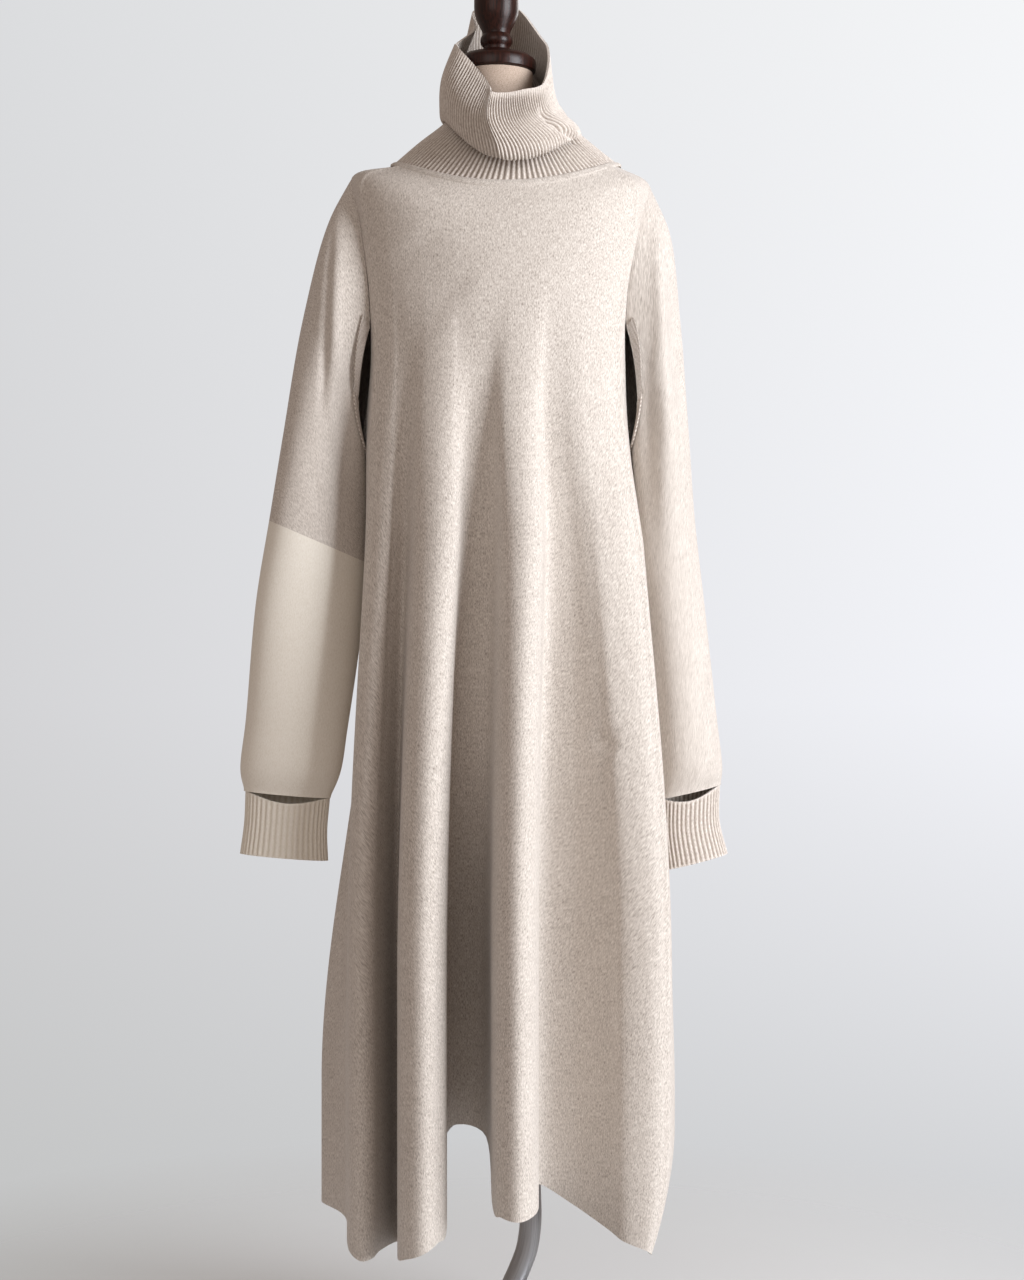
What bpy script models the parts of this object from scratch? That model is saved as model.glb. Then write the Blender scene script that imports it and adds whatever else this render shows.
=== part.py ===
"""A turtleneck sweater dress worn by a limbless dress form on its pole stand.

Metres, +Z up, the front faces -Y. The origin is the middle of the base plate's underside. Right and left
are the wearer's, so right is at -X. Cloth pieces are walls of one thickness between two grids of points,
and every grid comes from the short tables below.
"""

import bpy
import bmesh
import numpy as np

SLEEVE_SIDES = 20
CLOTH = 0.0022
RIB = 0.0028
SEAM = 0.0003
ARMHOLE_TOP = 1
ARMHOLE_FOOT = 5
ARMHOLE_CUT = 21.0
ARMHOLE_FULLNESS = 0.6
EDGE_REACH = 0.36
SKIRT_TOP = 6
SKIRT_FOOT = 10

# The smooth body before it is folded, ring by ring: name, x_right, x_left, y_front, y_back, and the heights
# z_right, z_left, z_front, z_back of those four places.
BODY = (
    ("neck", -0.119, 0.132, -0.088, 0.078, 1.317, 1.317, 1.281, 1.325),
    ("shoulder", -0.163, 0.165, -0.099, 0.088, 1.306, 1.296, 1.252, 1.285),
    ("upper_arm", -0.161, 0.163, -0.106, 0.093, 1.250, 1.242, 1.212, 1.235),
    ("chest", -0.153, 0.155, -0.110, 0.096, 1.175, 1.172, 1.163, 1.172),
    ("bust", -0.147, 0.149, -0.109, 0.096, 1.100, 1.100, 1.098, 1.100),
    ("underarm", -0.146, 0.148, -0.106, 0.095, 1.028, 1.028, 1.026, 1.028),
    ("waist", -0.1465, 0.1535, -0.100, 0.092, 0.900, 0.900, 0.900, 0.900),
)

# Tracks that run down the dress, once round from the right side seam by the front. A ridge has a crown, two
# shoulders and two flanks, a trough has two edges, and a seam or a valley is one track.
# Heights between which a fold grows: for how far out it stands, and for how far sideways it goes.
SCHEDULES = {
    "early": (1.215, 0.400, 1.190, 0.440),
    "flare": (0.890, 0.400, 0.960, 0.330),
    "flank": (0.960, 0.320, 1.190, 0.440),
    "deep": (0.705, 0.400, 1.190, 0.440),
    "behind": (0.700, 0.400, 1.190, 0.440),
    "late": (0.800, 0.330, 0.860, 0.300),
}
# name, kind, schedule, x_chest, x_hem, y_hem, half widths before and after, y of its flanks, hem heights
# before, at and after.
FOLDS = (
    ("side_right", "seam", "flare", -0.1465, -0.172, 0.020, 0, 0, 0, 0, 0.158, 0),
    ("front_b", "ridge", "early", -0.120, -0.146, -0.092, 0.018, 0.018, -0.056, 0.150, 0.140, 0.142),
    ("valley_bc", "valley", "flank", -0.094, -0.112, 0.006, 0, 0, 0, 0, 0.170, 0),
    ("front_c", "ridge", "early", -0.058, -0.079, -0.153, 0.028, 0.024, -0.110, 0.148, 0.164, 0.182),
    ("valley_cd", "trough", "deep", -0.012, -0.039, -0.004, 0.024, 0.022, 0, 0, 0.255, 0),
    ("front_d", "ridge", "early", 0.030, 0.019, -0.178, 0.026, 0.022, -0.134, 0.208, 0.204, 0.208),
    ("valley_de", "valley", "early", 0.057, 0.041, -0.060, 0, 0, 0, 0, 0.214, 0),
    ("front_low", "valley", "early", 0.070, 0.078, -0.058, 0, 0, 0, 0, 0.192, 0),
    ("front_e", "ridge", "early", 0.118, 0.157, -0.107, 0.042, 0.026, -0.084, 0.172, 0.156, 0.146),
    ("side_left", "seam", "late", 0.1535, 0.192, 0.002, 0, 0, 0, 0, 0.137, 0),
    ("back_f", "ridge", "late", 0.134, 0.166, 0.090, 0.020, 0.020, 0.060, 0.185, 0.190, 0.185),
    ("valley_fg", "valley", "behind", 0.106, 0.130, 0.030, 0, 0, 0, 0, 0.195, 0),
    ("back_g", "ridge", "early", 0.068, 0.084, 0.150, 0.034, 0.034, 0.108, 0.185, 0.178, 0.182),
    ("valley_gh", "valley", "behind", 0.024, 0.030, 0.052, 0, 0, 0, 0, 0.218, 0),
    ("back_h", "ridge", "early", -0.018, -0.024, 0.160, 0.034, 0.034, 0.118, 0.224, 0.236, 0.236),
    ("valley_hj", "valley", "behind", -0.060, -0.072, 0.048, 0, 0, 0, 0, 0.232, 0),
    ("back_j", "ridge", "early", -0.094, -0.118, 0.132, 0.024, 0.024, 0.096, 0.212, 0.192, 0.182),
    ("back_a", "ridge", "late", -0.129, -0.186, 0.088, 0.012, 0.016, 0.074, 0.170, 0.162, 0.160),
)
CHEST_FLANK = 0.85
CHEST_TROUGH = 0.36
# Where a ridge's shoulders lie between its crown and its flanks: in x at the chest and at the hem, in y and
# in z.
ROUNDING = np.array([0.60, 0.64, 0.26, 0.50])
# How far the left corner of the hem goes in, from which x and below which height.
CORNER_TUCK = 0.030
CORNER_X = 0.150
CORNER_SPAN = 0.040
CORNER_TOP = 0.270
CORNER_FALL = 0.132
# How far a deep valley goes in while it hangs before the torso, and the heights between which it does.
VALLEY_TOP = 1.150
VALLEY_FULL = 0.860
VALLEY_IN = 0.78
SQUARENESS = 2.25
TRACKS_OF = {"seam": 1, "valley": 1, "trough": 2, "ridge": 5}

# Collar rings: name, x_right, z_right, x_left, z_left, y_front, z_front, y_back, z_back.
COLLAR = (
    ("seam", -0.119, 1.317, 0.132, 1.317, -0.088, 1.281, 0.078, 1.325),
    ("cone", -0.090, 1.342, 0.108, 1.336, -0.082, 1.302, 0.070, 1.355),
    ("throat", -0.064, 1.362, 0.086, 1.354, -0.073, 1.324, 0.063, 1.385),
    ("tuck", -0.0565, 1.372, 0.074, 1.363, -0.069, 1.334, 0.060, 1.400),
    ("under", -0.059, 1.367, 0.078, 1.354, -0.086, 1.314, 0.059, 1.410),
    ("sag", -0.0635, 1.366, 0.0885, 1.347, -0.100, 1.302, 0.058, 1.420),
    ("roll", -0.0665, 1.377, 0.087, 1.358, -0.111, 1.313, 0.057, 1.435),
    ("wall", -0.064, 1.408, 0.064, 1.392, -0.108, 1.345, 0.055, 1.462),
    ("rim", -0.048, 1.446, 0.0555, 1.447, -0.076, 1.386, 0.051, 1.505),
)
ROLL_RING = 6
COLLAR_SIDES = 32
COLLAR_LIFT = 0.0015
# The band over the neck seam: where its edges lie on the collar and the body, and its section from below.
TRIM_ABOVE = 0.16
TRIM_BELOW = 0.13
TRIM_HALF_WIDTH = 0.0045
TRIM_LIFT = np.array([0.0023, 0.0020, 0.0016])
TRIM_THICK = np.array([0.0012, 0.0020, 0.0012])
# The rim's uneven edge: angle from the front, towards the left where positive, then x, y and z.
RIM_EDGE = (
    (-180, 0.004, 0.055, 1.507), (-150, -0.0304, 0.044, 1.502), (-125, -0.0290, 0.030, 1.479),
    (-100, -0.0480, 0.006, 1.456), (-75, -0.0470, -0.028, 1.4440), (-45, -0.0260, -0.052, 1.4150),
    (-20, -0.0110, -0.076, 1.3890), (-8, -0.0090, -0.086, 1.3795), (10, 0.0050, -0.084, 1.3785),
    (35, 0.0250, -0.076, 1.3840), (62, 0.0470, -0.060, 1.3950), (80, 0.0530, -0.035, 1.4180),
    (100, 0.0540, -0.012, 1.4440), (125, 0.0445, 0.018, 1.468), (150, 0.0240, 0.048, 1.503),
)

# Sleeve rings: outer and inner edge in x and z, half depth, and how far the inner edge lies behind the
# outer.
SLEEVE_COLUMNS = ("x_outer", "z_outer", "x_inner", "z_inner", "half_depth", "back_turn")
SLEEVE_RIGHT = (
    ("cap", -0.187, 1.254, -0.152, 1.010, 0.064, 0.000),
    ("upper", -0.2145, 1.150, -0.1495, 0.985, 0.056, 0.030),
    ("biceps", -0.2365, 1.0175, -0.1475, 0.945, 0.048, 0.046),
    ("block", -0.2505, 0.932, -0.1480, 0.886, 0.044, 0.046),
    ("elbow", -0.266, 0.8415, -0.1525, 0.815, 0.038, 0.034),
    ("forearm", -0.279, 0.7095, -0.168, 0.700, 0.031, 0.010),
    ("wrist", -0.2855, 0.6545, -0.176, 0.650, 0.028, 0.000),
    ("end", -0.281, 0.632, -0.187, 0.624, 0.020, 0.000),
)
SLEEVE_LEFT = (
    ("cap", 0.186, 1.245, 0.154, 1.010, 0.064, 0.000),
    ("upper", 0.1985, 1.150, 0.1555, 0.985, 0.056, 0.012),
    ("biceps", 0.2095, 1.0175, 0.157, 0.945, 0.048, 0.024),
    ("block", 0.2165, 0.932, 0.159, 0.886, 0.044, 0.030),
    ("elbow", 0.227, 0.8415, 0.163, 0.815, 0.040, 0.034),
    ("forearm", 0.2415, 0.7095, 0.175, 0.700, 0.034, 0.036),
    ("wrist", 0.2475, 0.6545, 0.1775, 0.650, 0.030, 0.036),
    ("end", 0.2455, 0.637, 0.176, 0.622, 0.022, 0.036),
)
CUFF_RIGHT = (
    ("top", -0.2805, 0.629, -0.188, 0.621, 0.019, 0.000),
    ("middle", -0.2815, 0.597, -0.190, 0.588, 0.019, 0.000),
    ("bottom", -0.286, 0.563, -0.189, 0.555, 0.020, 0.000),
)
CUFF_LEFT = (
    ("top", 0.2445, 0.633, 0.173, 0.618, 0.020, 0.034),
    ("middle", 0.2445, 0.597, 0.175, 0.584, 0.020, 0.034),
    ("bottom", 0.2535, 0.560, 0.179, 0.543, 0.021, 0.034),
)
GROOVE_ANGLE = 118.0
GROOVE_SPREAD = 26.0
GROOVE_DEPTH = 0.010
VENT_EDGE = 98.0
VENT_EDGE_BACK = 176.0
VENT_SHARE = 0.155
BAND_WIDTH = 0.011
BAND_LIFT = 0.0021
BAND_START = 0.006
SLEEVE_LENGTH = 0.72
SLIT_DROP = 0.009
SLIT_EDGE = 74.0
COLOUR_SPLIT = 0.546

# The form, as horizontal ovals: height, half width, depth to the front and to the back.
FORM_X = -0.004
TORSO = (
    ("board_edge", 0.700, 0.112, 0.068, 0.074),
    ("hip", 0.755, 0.116, 0.070, 0.077),
    ("high_hip", 0.820, 0.110, 0.068, 0.073),
    ("waist", 0.900, 0.101, 0.064, 0.067),
    ("rib", 1.000, 0.116, 0.077, 0.076),
    ("bust", 1.090, 0.128, 0.090, 0.080),
    ("chest", 1.170, 0.136, 0.086, 0.080),
    ("arm", 1.230, 0.141, 0.074, 0.072),
    ("shoulder", 1.268, 0.141, 0.062, 0.062),
    ("shoulder_top", 1.290, 0.126, 0.054, 0.056),
    ("neck_root", 1.312, 0.090, 0.050, 0.052),
    ("neck_base", 1.332, 0.056, 0.044, 0.048),
    ("neck", 1.360, 0.041, 0.040, 0.041),
    ("neck_top", 1.420, 0.040, 0.040, 0.040),
)
ARM_PLATE = {"y": 0.032, "z": 0.078, "centre_z": 1.125, "thick": 0.005}
CAP_RADIUS = 0.0435
CAP = ((0, 1.4205), (CAP_RADIUS - 0.003, 1.4205), (CAP_RADIUS, 1.4235), (CAP_RADIUS, 1.4330),
       (CAP_RADIUS - 0.006, 1.4385), (0.022, 1.4410), (0, 1.4410))
FINIAL = ((0, 1.4413), (0.017, 1.4413), (0.0145, 1.446), (0.0150, 1.450), (0.0178, 1.454), (0.0178, 1.459),
          (0.0150, 1.463), (0.0165, 1.468), (0.0215, 1.478), (0.0245, 1.492), (0.0240, 1.508),
          (0.0195, 1.523), (0.0120, 1.534), (0.0075, 1.540), (0.0085, 1.546), (0.0060, 1.552), (0, 1.554))
BOARD = ((0, 0.6850), (0.098, 0.6850), (0.104, 0.6885), (0.104, 0.6997), (0, 0.6997))
FLANGE = ((0, 0.6250), (0.016, 0.6250), (0.0175, 0.627), (0.0175, 0.670), (0.042, 0.6775), (0.042, 0.6847),
          (0, 0.6847))
BASE = ((0, 0), (0.149, 0), (0.150, 0.001), (0.150, 0.007), (0.147, 0.0095), (0.060, 0.012), (0, 0.012))
SOCKET = ((0, 0.0123), (0.034, 0.0123), (0.034, 0.016), (0.020, 0.022), (0.0175, 0.026), (0.0175, 0.0345),
          (0, 0.0345))
POLE_RADIUS = 0.012
POLE = ((0, 0.0350), (0, 0.046), (0.0035, 0.064), (0.0120, 0.085), (0.0215, 0.106), (0.0295, 0.128),
        (0.0330, 0.150), (0.0330, 0.200), (0.0330, 0.300), (0.0330, 0.400), (0.0330, 0.510),
        (0.0290, 0.535), (0.0200, 0.558), (0.0070, 0.582), (-0.0020, 0.602), (FORM_X, 0.6247))


def clear_scene():
    for thing in list(bpy.data.objects):
        bpy.data.objects.remove(thing)


def material(name, colour, roughness, metallic=0.0):
    made = bpy.data.materials.new(name)
    made.use_nodes = True
    shader = made.node_tree.nodes["Principled BSDF"]
    shader.inputs["Base Color"].default_value = (*colour, 1.0)
    shader.inputs["Roughness"].default_value = roughness
    shader.inputs["Metallic"].default_value = metallic
    return made


def place(name, mesh, look):
    obj = bpy.data.objects.new(name, mesh)
    mesh.materials.append(look)
    bpy.context.scene.collection.objects.link(obj)
    return obj


def smooth(value):
    value = np.clip(value, 0.0, 1.0)
    return value * value * (3.0 - 2.0 * value)


def mix(first, second, share):
    return first + (second - first) * share


def through(keys, values, at):
    """Values on a smooth curve through the rows of values, one row for each key."""
    keys = np.asarray(keys, float)
    values = np.asarray(values, float)
    at = np.clip(np.asarray(at, float), keys[0], keys[-1])
    slopes = np.gradient(values, keys, axis=0)
    span = np.clip(np.searchsorted(keys, at, side="right") - 1, 0, len(keys) - 2)
    width = keys[span + 1] - keys[span]
    t = (at - keys[span]) / width
    shape = t.shape + (1,) * (values.ndim - 1)
    t = t.reshape(shape)
    width = width.reshape(shape)
    return ((2 * t**3 - 3 * t**2 + 1) * values[span] + (t**3 - 2 * t**2 + t) * width * slopes[span]
            + (3 * t**2 - 2 * t**3) * values[span + 1] + (t**3 - t**2) * width * slopes[span + 1])


def closed_through(points, at):
    """Points on a smooth closed curve through points, at places numbered as the points are."""
    count = len(points)
    at = np.asarray(at, float)
    span = np.floor(at).astype(int)
    t = (at - span)[:, None]
    before, start, end, after = (points[(span + step) % count] for step in (-1, 0, 1, 2))
    leave = 0.5 * (end - before)
    arrive = 0.5 * (after - start)
    return ((2 * t**3 - 3 * t**2 + 1) * start + (t**3 - 2 * t**2 + t) * leave
            + (3 * t**2 - 2 * t**3) * end + (t**3 - t**2) * arrive)


def oval(x_right, x_left, y_front, y_back, angle, squareness):
    """Plan of an oval at an angle from the middle front, towards the left where it is positive."""
    centre = 0.5 * (x_right + x_left)
    half = 0.5 * (x_left - x_right)
    sine = np.sin(angle)
    cosine = np.cos(angle)
    depth = np.where(cosine > 0, y_front, y_back)
    power = 2.0 / squareness
    x = centre + half * np.sign(sine) * np.abs(sine) ** power
    return x, depth * np.abs(cosine) ** power


def fold_tracks():
    """Every track's chest angle, its place at the hem, and the heights between which it goes there."""
    rows = []
    for fold in FOLDS:
        name, kind, schedule, x_chest, x_hem, y_hem, before, after, flank_y, z_before, z_hem, z_after = fold
        is_back = name.startswith(("back", "valley_fg", "valley_gh", "valley_hj"))
        towards = -1.0 if is_back else 1.0
        rest = (is_back, *SCHEDULES[schedule])
        crown = np.array([x_chest, x_hem, y_hem, z_hem])
        aside = towards * before
        first = np.array([x_chest - CHEST_FLANK * aside, x_hem - aside, flank_y, z_before])
        aside = towards * after
        last = np.array([x_chest + CHEST_FLANK * aside, x_hem + aside, flank_y, z_after])
        if kind == "trough":
            first = np.array([x_chest - CHEST_TROUGH * before, x_hem - before, y_hem, z_hem])
            last = np.array([x_chest + CHEST_TROUGH * after, x_hem + after, y_hem, z_hem])
            rows += [(*first, *rest), (*last, *rest)]
            continue
        if kind == "ridge":
            rows += [(*first, *rest), (*mix(crown, first, ROUNDING), *rest)]
        rows.append((*crown, *rest))
        if kind == "ridge":
            rows += [(*mix(crown, last, ROUNDING), *rest), (*last, *rest)]
    tracks = np.array(rows, float)
    x_right, x_left = BODY[-1][1:3]
    sine = np.clip((tracks[:, 0] - 0.5 * (x_right + x_left)) / (0.5 * (x_left - x_right)), -1, 1)
    angle = np.arcsin(np.sign(sine) * np.abs(sine) ** (SQUARENESS / 2.0))
    angle = np.where(tracks[:, 4] > 0, np.pi - angle, angle)
    return (angle, *tracks[:, [1, 2, 3, 5, 6, 7, 8]].T)


def body_base(row, angle):
    """Points of the body before it is folded, at angles from the middle front."""
    values = np.array([line[1:] for line in BODY], float)
    here = through(range(len(BODY)), values, [row])[0]
    x_right, x_left, y_front, y_back, z_right, z_left, z_front, z_back = here
    x, y = oval(x_right, x_left, y_front, y_back, angle, SQUARENESS)
    z_side = np.where(np.sin(angle) > 0, z_left, z_right)
    return x, y, mix(np.where(np.cos(angle) > 0, z_front, z_back), z_side, np.sin(angle) ** 2)


def body_tracks(row):
    """The tracks' points on the row's loop. Rows 0 to 6 follow BODY, and 6 to 10 run down to the hem."""
    angle, x_hem, y_hem, z_hem, start, full, side_start, side_full = fold_tracks()
    x, y, z = body_base(row, angle)
    z = mix(z, z_hem, np.clip((row - SKIRT_TOP) / (SKIRT_FOOT - SKIRT_TOP), 0, 1))
    x = mix(x, x_hem, smooth((side_start - z) / (side_start - side_full)))
    is_deep = (start == SCHEDULES["deep"][0]) | (start == SCHEDULES["flank"][0])
    inward = 1 - (1 - VALLEY_IN) * smooth((VALLEY_TOP - z) / (VALLEY_TOP - VALLEY_FULL))
    y = mix(y * np.where(is_deep, inward, 1.0), y_hem, smooth((start - z) / (start - full)))
    beside = np.clip((x_hem - CORNER_X) / CORNER_SPAN, 0, 1)
    x = x - CORNER_TUCK * beside * np.clip((CORNER_TOP - z) / CORNER_FALL, 0, 1) ** 2
    return np.stack([x, y, z], axis=1)


def armhole_row(degrees):
    """The body row that the armhole's edge crosses at this angle from the shoulder tip."""
    turned = min(degrees, 360 - degrees)
    return mix(ARMHOLE_TOP, ARMHOLE_FOOT, 0.5 - 0.5 * np.cos(np.radians(turned)))


def armhole_cut(row):
    """How many degrees the panels stop short of the side, on the rows that the armhole crosses."""
    share = np.clip((row - ARMHOLE_TOP) / (ARMHOLE_FOOT - ARMHOLE_TOP), 0, 1)
    return ARMHOLE_CUT * np.sin(np.pi * share) ** ARMHOLE_FULLNESS


def edge_place(points, first, last, degrees):
    """Where the loop between two of its tracks reaches this many degrees from the side that it starts at."""
    if degrees <= 0:
        return float(first)
    at = np.linspace(first, mix(first, last, 0.5), 160)
    curve = closed_through(points, at)
    centre = points.mean(axis=0)
    turn = np.degrees(np.arctan2(np.abs(curve[:, 1]), np.abs(curve[:, 0] - centre[0])))
    return float(np.interp(degrees, turn, at))


def panel_columns(points, first, last, count, degrees):
    """Track places of a panel's columns on a row, its outermost ones moved in at the armhole."""
    at = np.linspace(first, last, count)
    low = edge_place(points, first, last, degrees) - first
    mirrored = edge_place(points[::-1], len(points) - 1 - last, len(points) - 1 - first, degrees)
    high = last - (len(points) - 1 - mirrored)
    reach = EDGE_REACH * (last - first)
    at = at + low * np.clip(1 - (at - first) / reach, 0, 1) ** 2
    return at - high * np.clip(1 - (last - at) / reach, 0, 1) ** 2


def unit(vectors):
    return vectors / np.maximum(np.linalg.norm(vectors, axis=-1, keepdims=True), 1e-12)


def grid_normals(grid, closed):
    """Outward normals of a grid whose rows run down and whose columns run round by the front."""
    if closed:
        across = np.roll(grid, -1, axis=1) - np.roll(grid, 1, axis=1)
    else:
        across = np.gradient(grid, axis=1)
    down = np.gradient(grid, axis=0)
    return unit(np.cross(down, across))


def body_grid(row_places, first, last, count):
    """Outer points and outward normals of a body panel."""
    step = 0.02
    outer = []
    normals = []
    for row in row_places:
        points = body_tracks(row)
        at = panel_columns(points, first, last, count, armhole_cut(row))
        above = closed_through(body_tracks(max(row - step, 0)), at)
        below = closed_through(body_tracks(min(row + step, SKIRT_FOOT)), at)
        left = closed_through(points, at - 0.04)
        right = closed_through(points, at + 0.04)
        outer.append(closed_through(points, at))
        normals.append(unit(np.cross(below - above, right - left)))
    return np.array(outer), np.array(normals)


def ease_columns(outer, inner):
    """Moves the two upright edges in by half a seam, so that neighbours stay a seam apart."""
    for edge, beside in ((0, 1), (-1, -2)):
        inward = unit(outer[:, beside] - outer[:, edge]) * SEAM * 0.6
        outer[:, edge] += inward
        inner[:, edge] += inward


def wall(name, outer, inner, look, closed=False):
    """A solid wall between two grids of points, closed round its columns where closed is set."""
    rows, columns = outer.shape[:2]
    mesh = bpy.data.meshes.new(name)
    builder = bmesh.new()
    sheets = []
    for grid in (outer, inner):
        sheets.append([[builder.verts.new(point) for point in line] for line in grid])
    spans = columns if closed else columns - 1

    def quad(a, b, c, d):
        builder.faces.new((a, b, c, d)).smooth = True

    for i in range(rows - 1):
        for j in range(spans):
            k = (j + 1) % columns
            out, back = sheets
            quad(out[i][j], out[i + 1][j], out[i + 1][k], out[i][k])
            quad(back[i][j], back[i][k], back[i + 1][k], back[i + 1][j])
    for j in range(spans):
        k = (j + 1) % columns
        quad(sheets[0][0][j], sheets[0][0][k], sheets[1][0][k], sheets[1][0][j])
        quad(sheets[0][-1][k], sheets[0][-1][j], sheets[1][-1][j], sheets[1][-1][k])
    if not closed:
        for i in range(rows - 1):
            quad(sheets[0][i + 1][0], sheets[0][i][0], sheets[1][i][0], sheets[1][i + 1][0])
            quad(sheets[0][i][-1], sheets[0][i + 1][-1], sheets[1][i + 1][-1], sheets[1][i][-1])
    builder.to_mesh(mesh)
    builder.free()
    mesh.set_sharp_from_angle(angle=np.radians(50))
    return place(name, mesh, look)


def body_rows(skirt_rows):
    turns = np.linspace(0, 180, SLEEVE_SIDES // 2 + 1)
    upper = np.concatenate([[0.0, 0.5], [armhole_row(turn) for turn in turns]])
    return np.concatenate([upper, np.linspace(SKIRT_TOP, SKIRT_FOOT, skirt_rows)])


def track_count():
    return sum(TRACKS_OF[fold[1]] for fold in FOLDS)


def front_end():
    """Place of the left side seam among the tracks, which are numbered from the right side seam."""
    names = [fold[0] for fold in FOLDS]
    before = FOLDS[:names.index("side_left")]
    return sum(TRACKS_OF[fold[1]] for fold in before)


def make_body(look):
    middle = front_end()
    end = track_count()
    for name, first, last in (("dress_front", 0, middle), ("dress_back", middle, end)):
        outer, normals = body_grid(body_rows(9), first, last, last - first + 1)
        inner = outer - normals * CLOTH
        ease_columns(outer, inner)
        drop = np.array([0, 0, SEAM])
        outer[0] -= drop
        inner[0] -= drop
        wall(name, outer, inner, look)


def armhole_loop(is_left, angles):
    """The armhole's edge: angle 0 at the shoulder tip, positive down its front edge, 180 at its foot."""
    middle = front_end()
    end = track_count()
    loop = []
    for angle in angles:
        row = armhole_row(angle)
        points = body_tracks(row)
        on_front = angle <= 180
        first, last = (0, middle) if on_front else (middle, end)
        at = panel_columns(points, first, last, 3, armhole_cut(row))
        pick = at[-1] if on_front == is_left else at[0]
        loop.append(closed_through(points, [pick])[0])
    return np.array(loop)


def ring(line, names, angles):
    """A sleeve ring: angle 0 at its outer edge, positive round its front."""
    row = dict(zip(names, line[1:]))
    turn = row["back_turn"]
    outer = np.array([row["x_outer"], -0.5 * turn, row["z_outer"]])
    inner = np.array([row["x_inner"], 0.5 * turn, row["z_inner"]])
    centre = 0.5 * (outer + inner)
    radians = np.radians(angles)[:, None]
    front = np.array([0, -row["half_depth"], 0])
    return centre + (outer - centre) * np.cos(radians) + front * np.sin(radians)


def groove(angles, share):
    """How far the lengthwise groove of a sleeve draws its wall in."""
    near = np.exp(-((angles - GROOVE_ANGLE) / GROOVE_SPREAD) ** 2)
    return GROOVE_DEPTH * near * smooth(share / 0.12) * smooth((0.72 - share) / 0.45)


def sleeve_grid(table, is_left, angles, shares):
    """Points of a sleeve, its rows at these shares of its length."""
    rings = [armhole_loop(is_left, angles)]
    rings += [ring(line, SLEEVE_COLUMNS, angles) for line in table]
    rings = np.array(rings)
    keys = np.concatenate([[0], np.cumsum(np.linalg.norm(np.diff(rings[:, 0], axis=0), axis=1))])
    keys = keys / keys[-1]
    keys[1:-1] = mix(keys[1:-1], np.arange(1, len(keys) - 1) / (len(keys) - 1), 0.35)
    grid = through(keys, rings, shares)
    centre = grid.mean(axis=1, keepdims=True)
    inward = unit(centre - grid)
    depth = np.array([groove(angles, share) for share in shares])
    return grid + inward * depth[:, :, None]


def vent_shares(angles, top):
    """The share of the length at which each column starts: the underarm hangs open below the armhole."""
    is_back = angles > 180
    edge = np.where(is_back, VENT_EDGE_BACK, VENT_EDGE)
    turned = np.where(is_back, 360 - angles, angles)
    return top + VENT_SHARE * np.sin(0.5 * np.pi * np.clip((turned - edge) / (180 - edge), 0, 1))


def sleeve_shell(table, is_left, first, last, rows, columns):
    """Outer and inner points of a stretch of sleeve between two shares of its length."""
    angles = np.arange(columns) * 360.0 / columns
    starts = vent_shares(angles, 0) if first == 0 else np.full(columns, first)
    fine = np.linspace(0, 1, 121)
    grid = sleeve_grid(table, is_left, angles, fine)
    normals = grid_normals(grid, True) * (1 if is_left else -1)
    outer = np.empty((rows, columns, 3))
    normal = np.empty((rows, columns, 3))
    for j in range(columns):
        shares = np.linspace(starts[j], last, rows)
        for axis in range(3):
            outer[:, j, axis] = np.interp(shares, fine, grid[:, j, axis])
            normal[:, j, axis] = np.interp(shares, fine, normals[:, j, axis])
    return outer, unit(normal)


def turned_outwards(outer, normal):
    """Flips normals that point to the middle of their ring."""
    away = outer - outer.mean(axis=1, keepdims=True)
    if (away * normal).sum() < 0:
        return -normal
    return normal


def in_order(grid, is_left):
    """Columns in the order that makes faces point out, which the left side mirrors."""
    return grid if is_left else grid[:, ::-1]


def make_sleeve(name, table, is_left, first, last, rows, look):
    outer, normal = sleeve_shell(table, is_left, first, last, rows, SLEEVE_SIDES)
    normal = turned_outwards(outer, normal)
    inner = outer - normal * CLOTH
    for edge, beside in ((0, 1), (-1, -2)):
        inward = unit(outer[beside] - outer[edge]) * SEAM
        outer[edge] += inward
        inner[edge] += inward
    wall(name, in_order(outer, is_left)[:, ::-1], in_order(inner, is_left)[:, ::-1], look, closed=True)


def make_cuff(name, table, is_left, look):
    angles = np.arange(SLEEVE_SIDES) * 360.0 / SLEEVE_SIDES
    rings = np.array([ring(line, SLEEVE_COLUMNS, angles) for line in table])
    grid = through(np.linspace(0, 1, len(table)), rings, np.linspace(0, 1, 4))
    front = np.clip(1 - np.abs(angles - 90) / SLIT_EDGE, 0, 1)
    for i, share in enumerate(np.linspace(1, 0, 4)):
        grid[i, :, 2] -= SLIT_DROP * smooth(2 * front) * share**2
    normal = turned_outwards(grid, grid_normals(grid, True))
    inner = grid - normal * RIB
    wall(name, in_order(grid, is_left)[:, ::-1], in_order(inner, is_left)[:, ::-1], look, closed=True)


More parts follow.
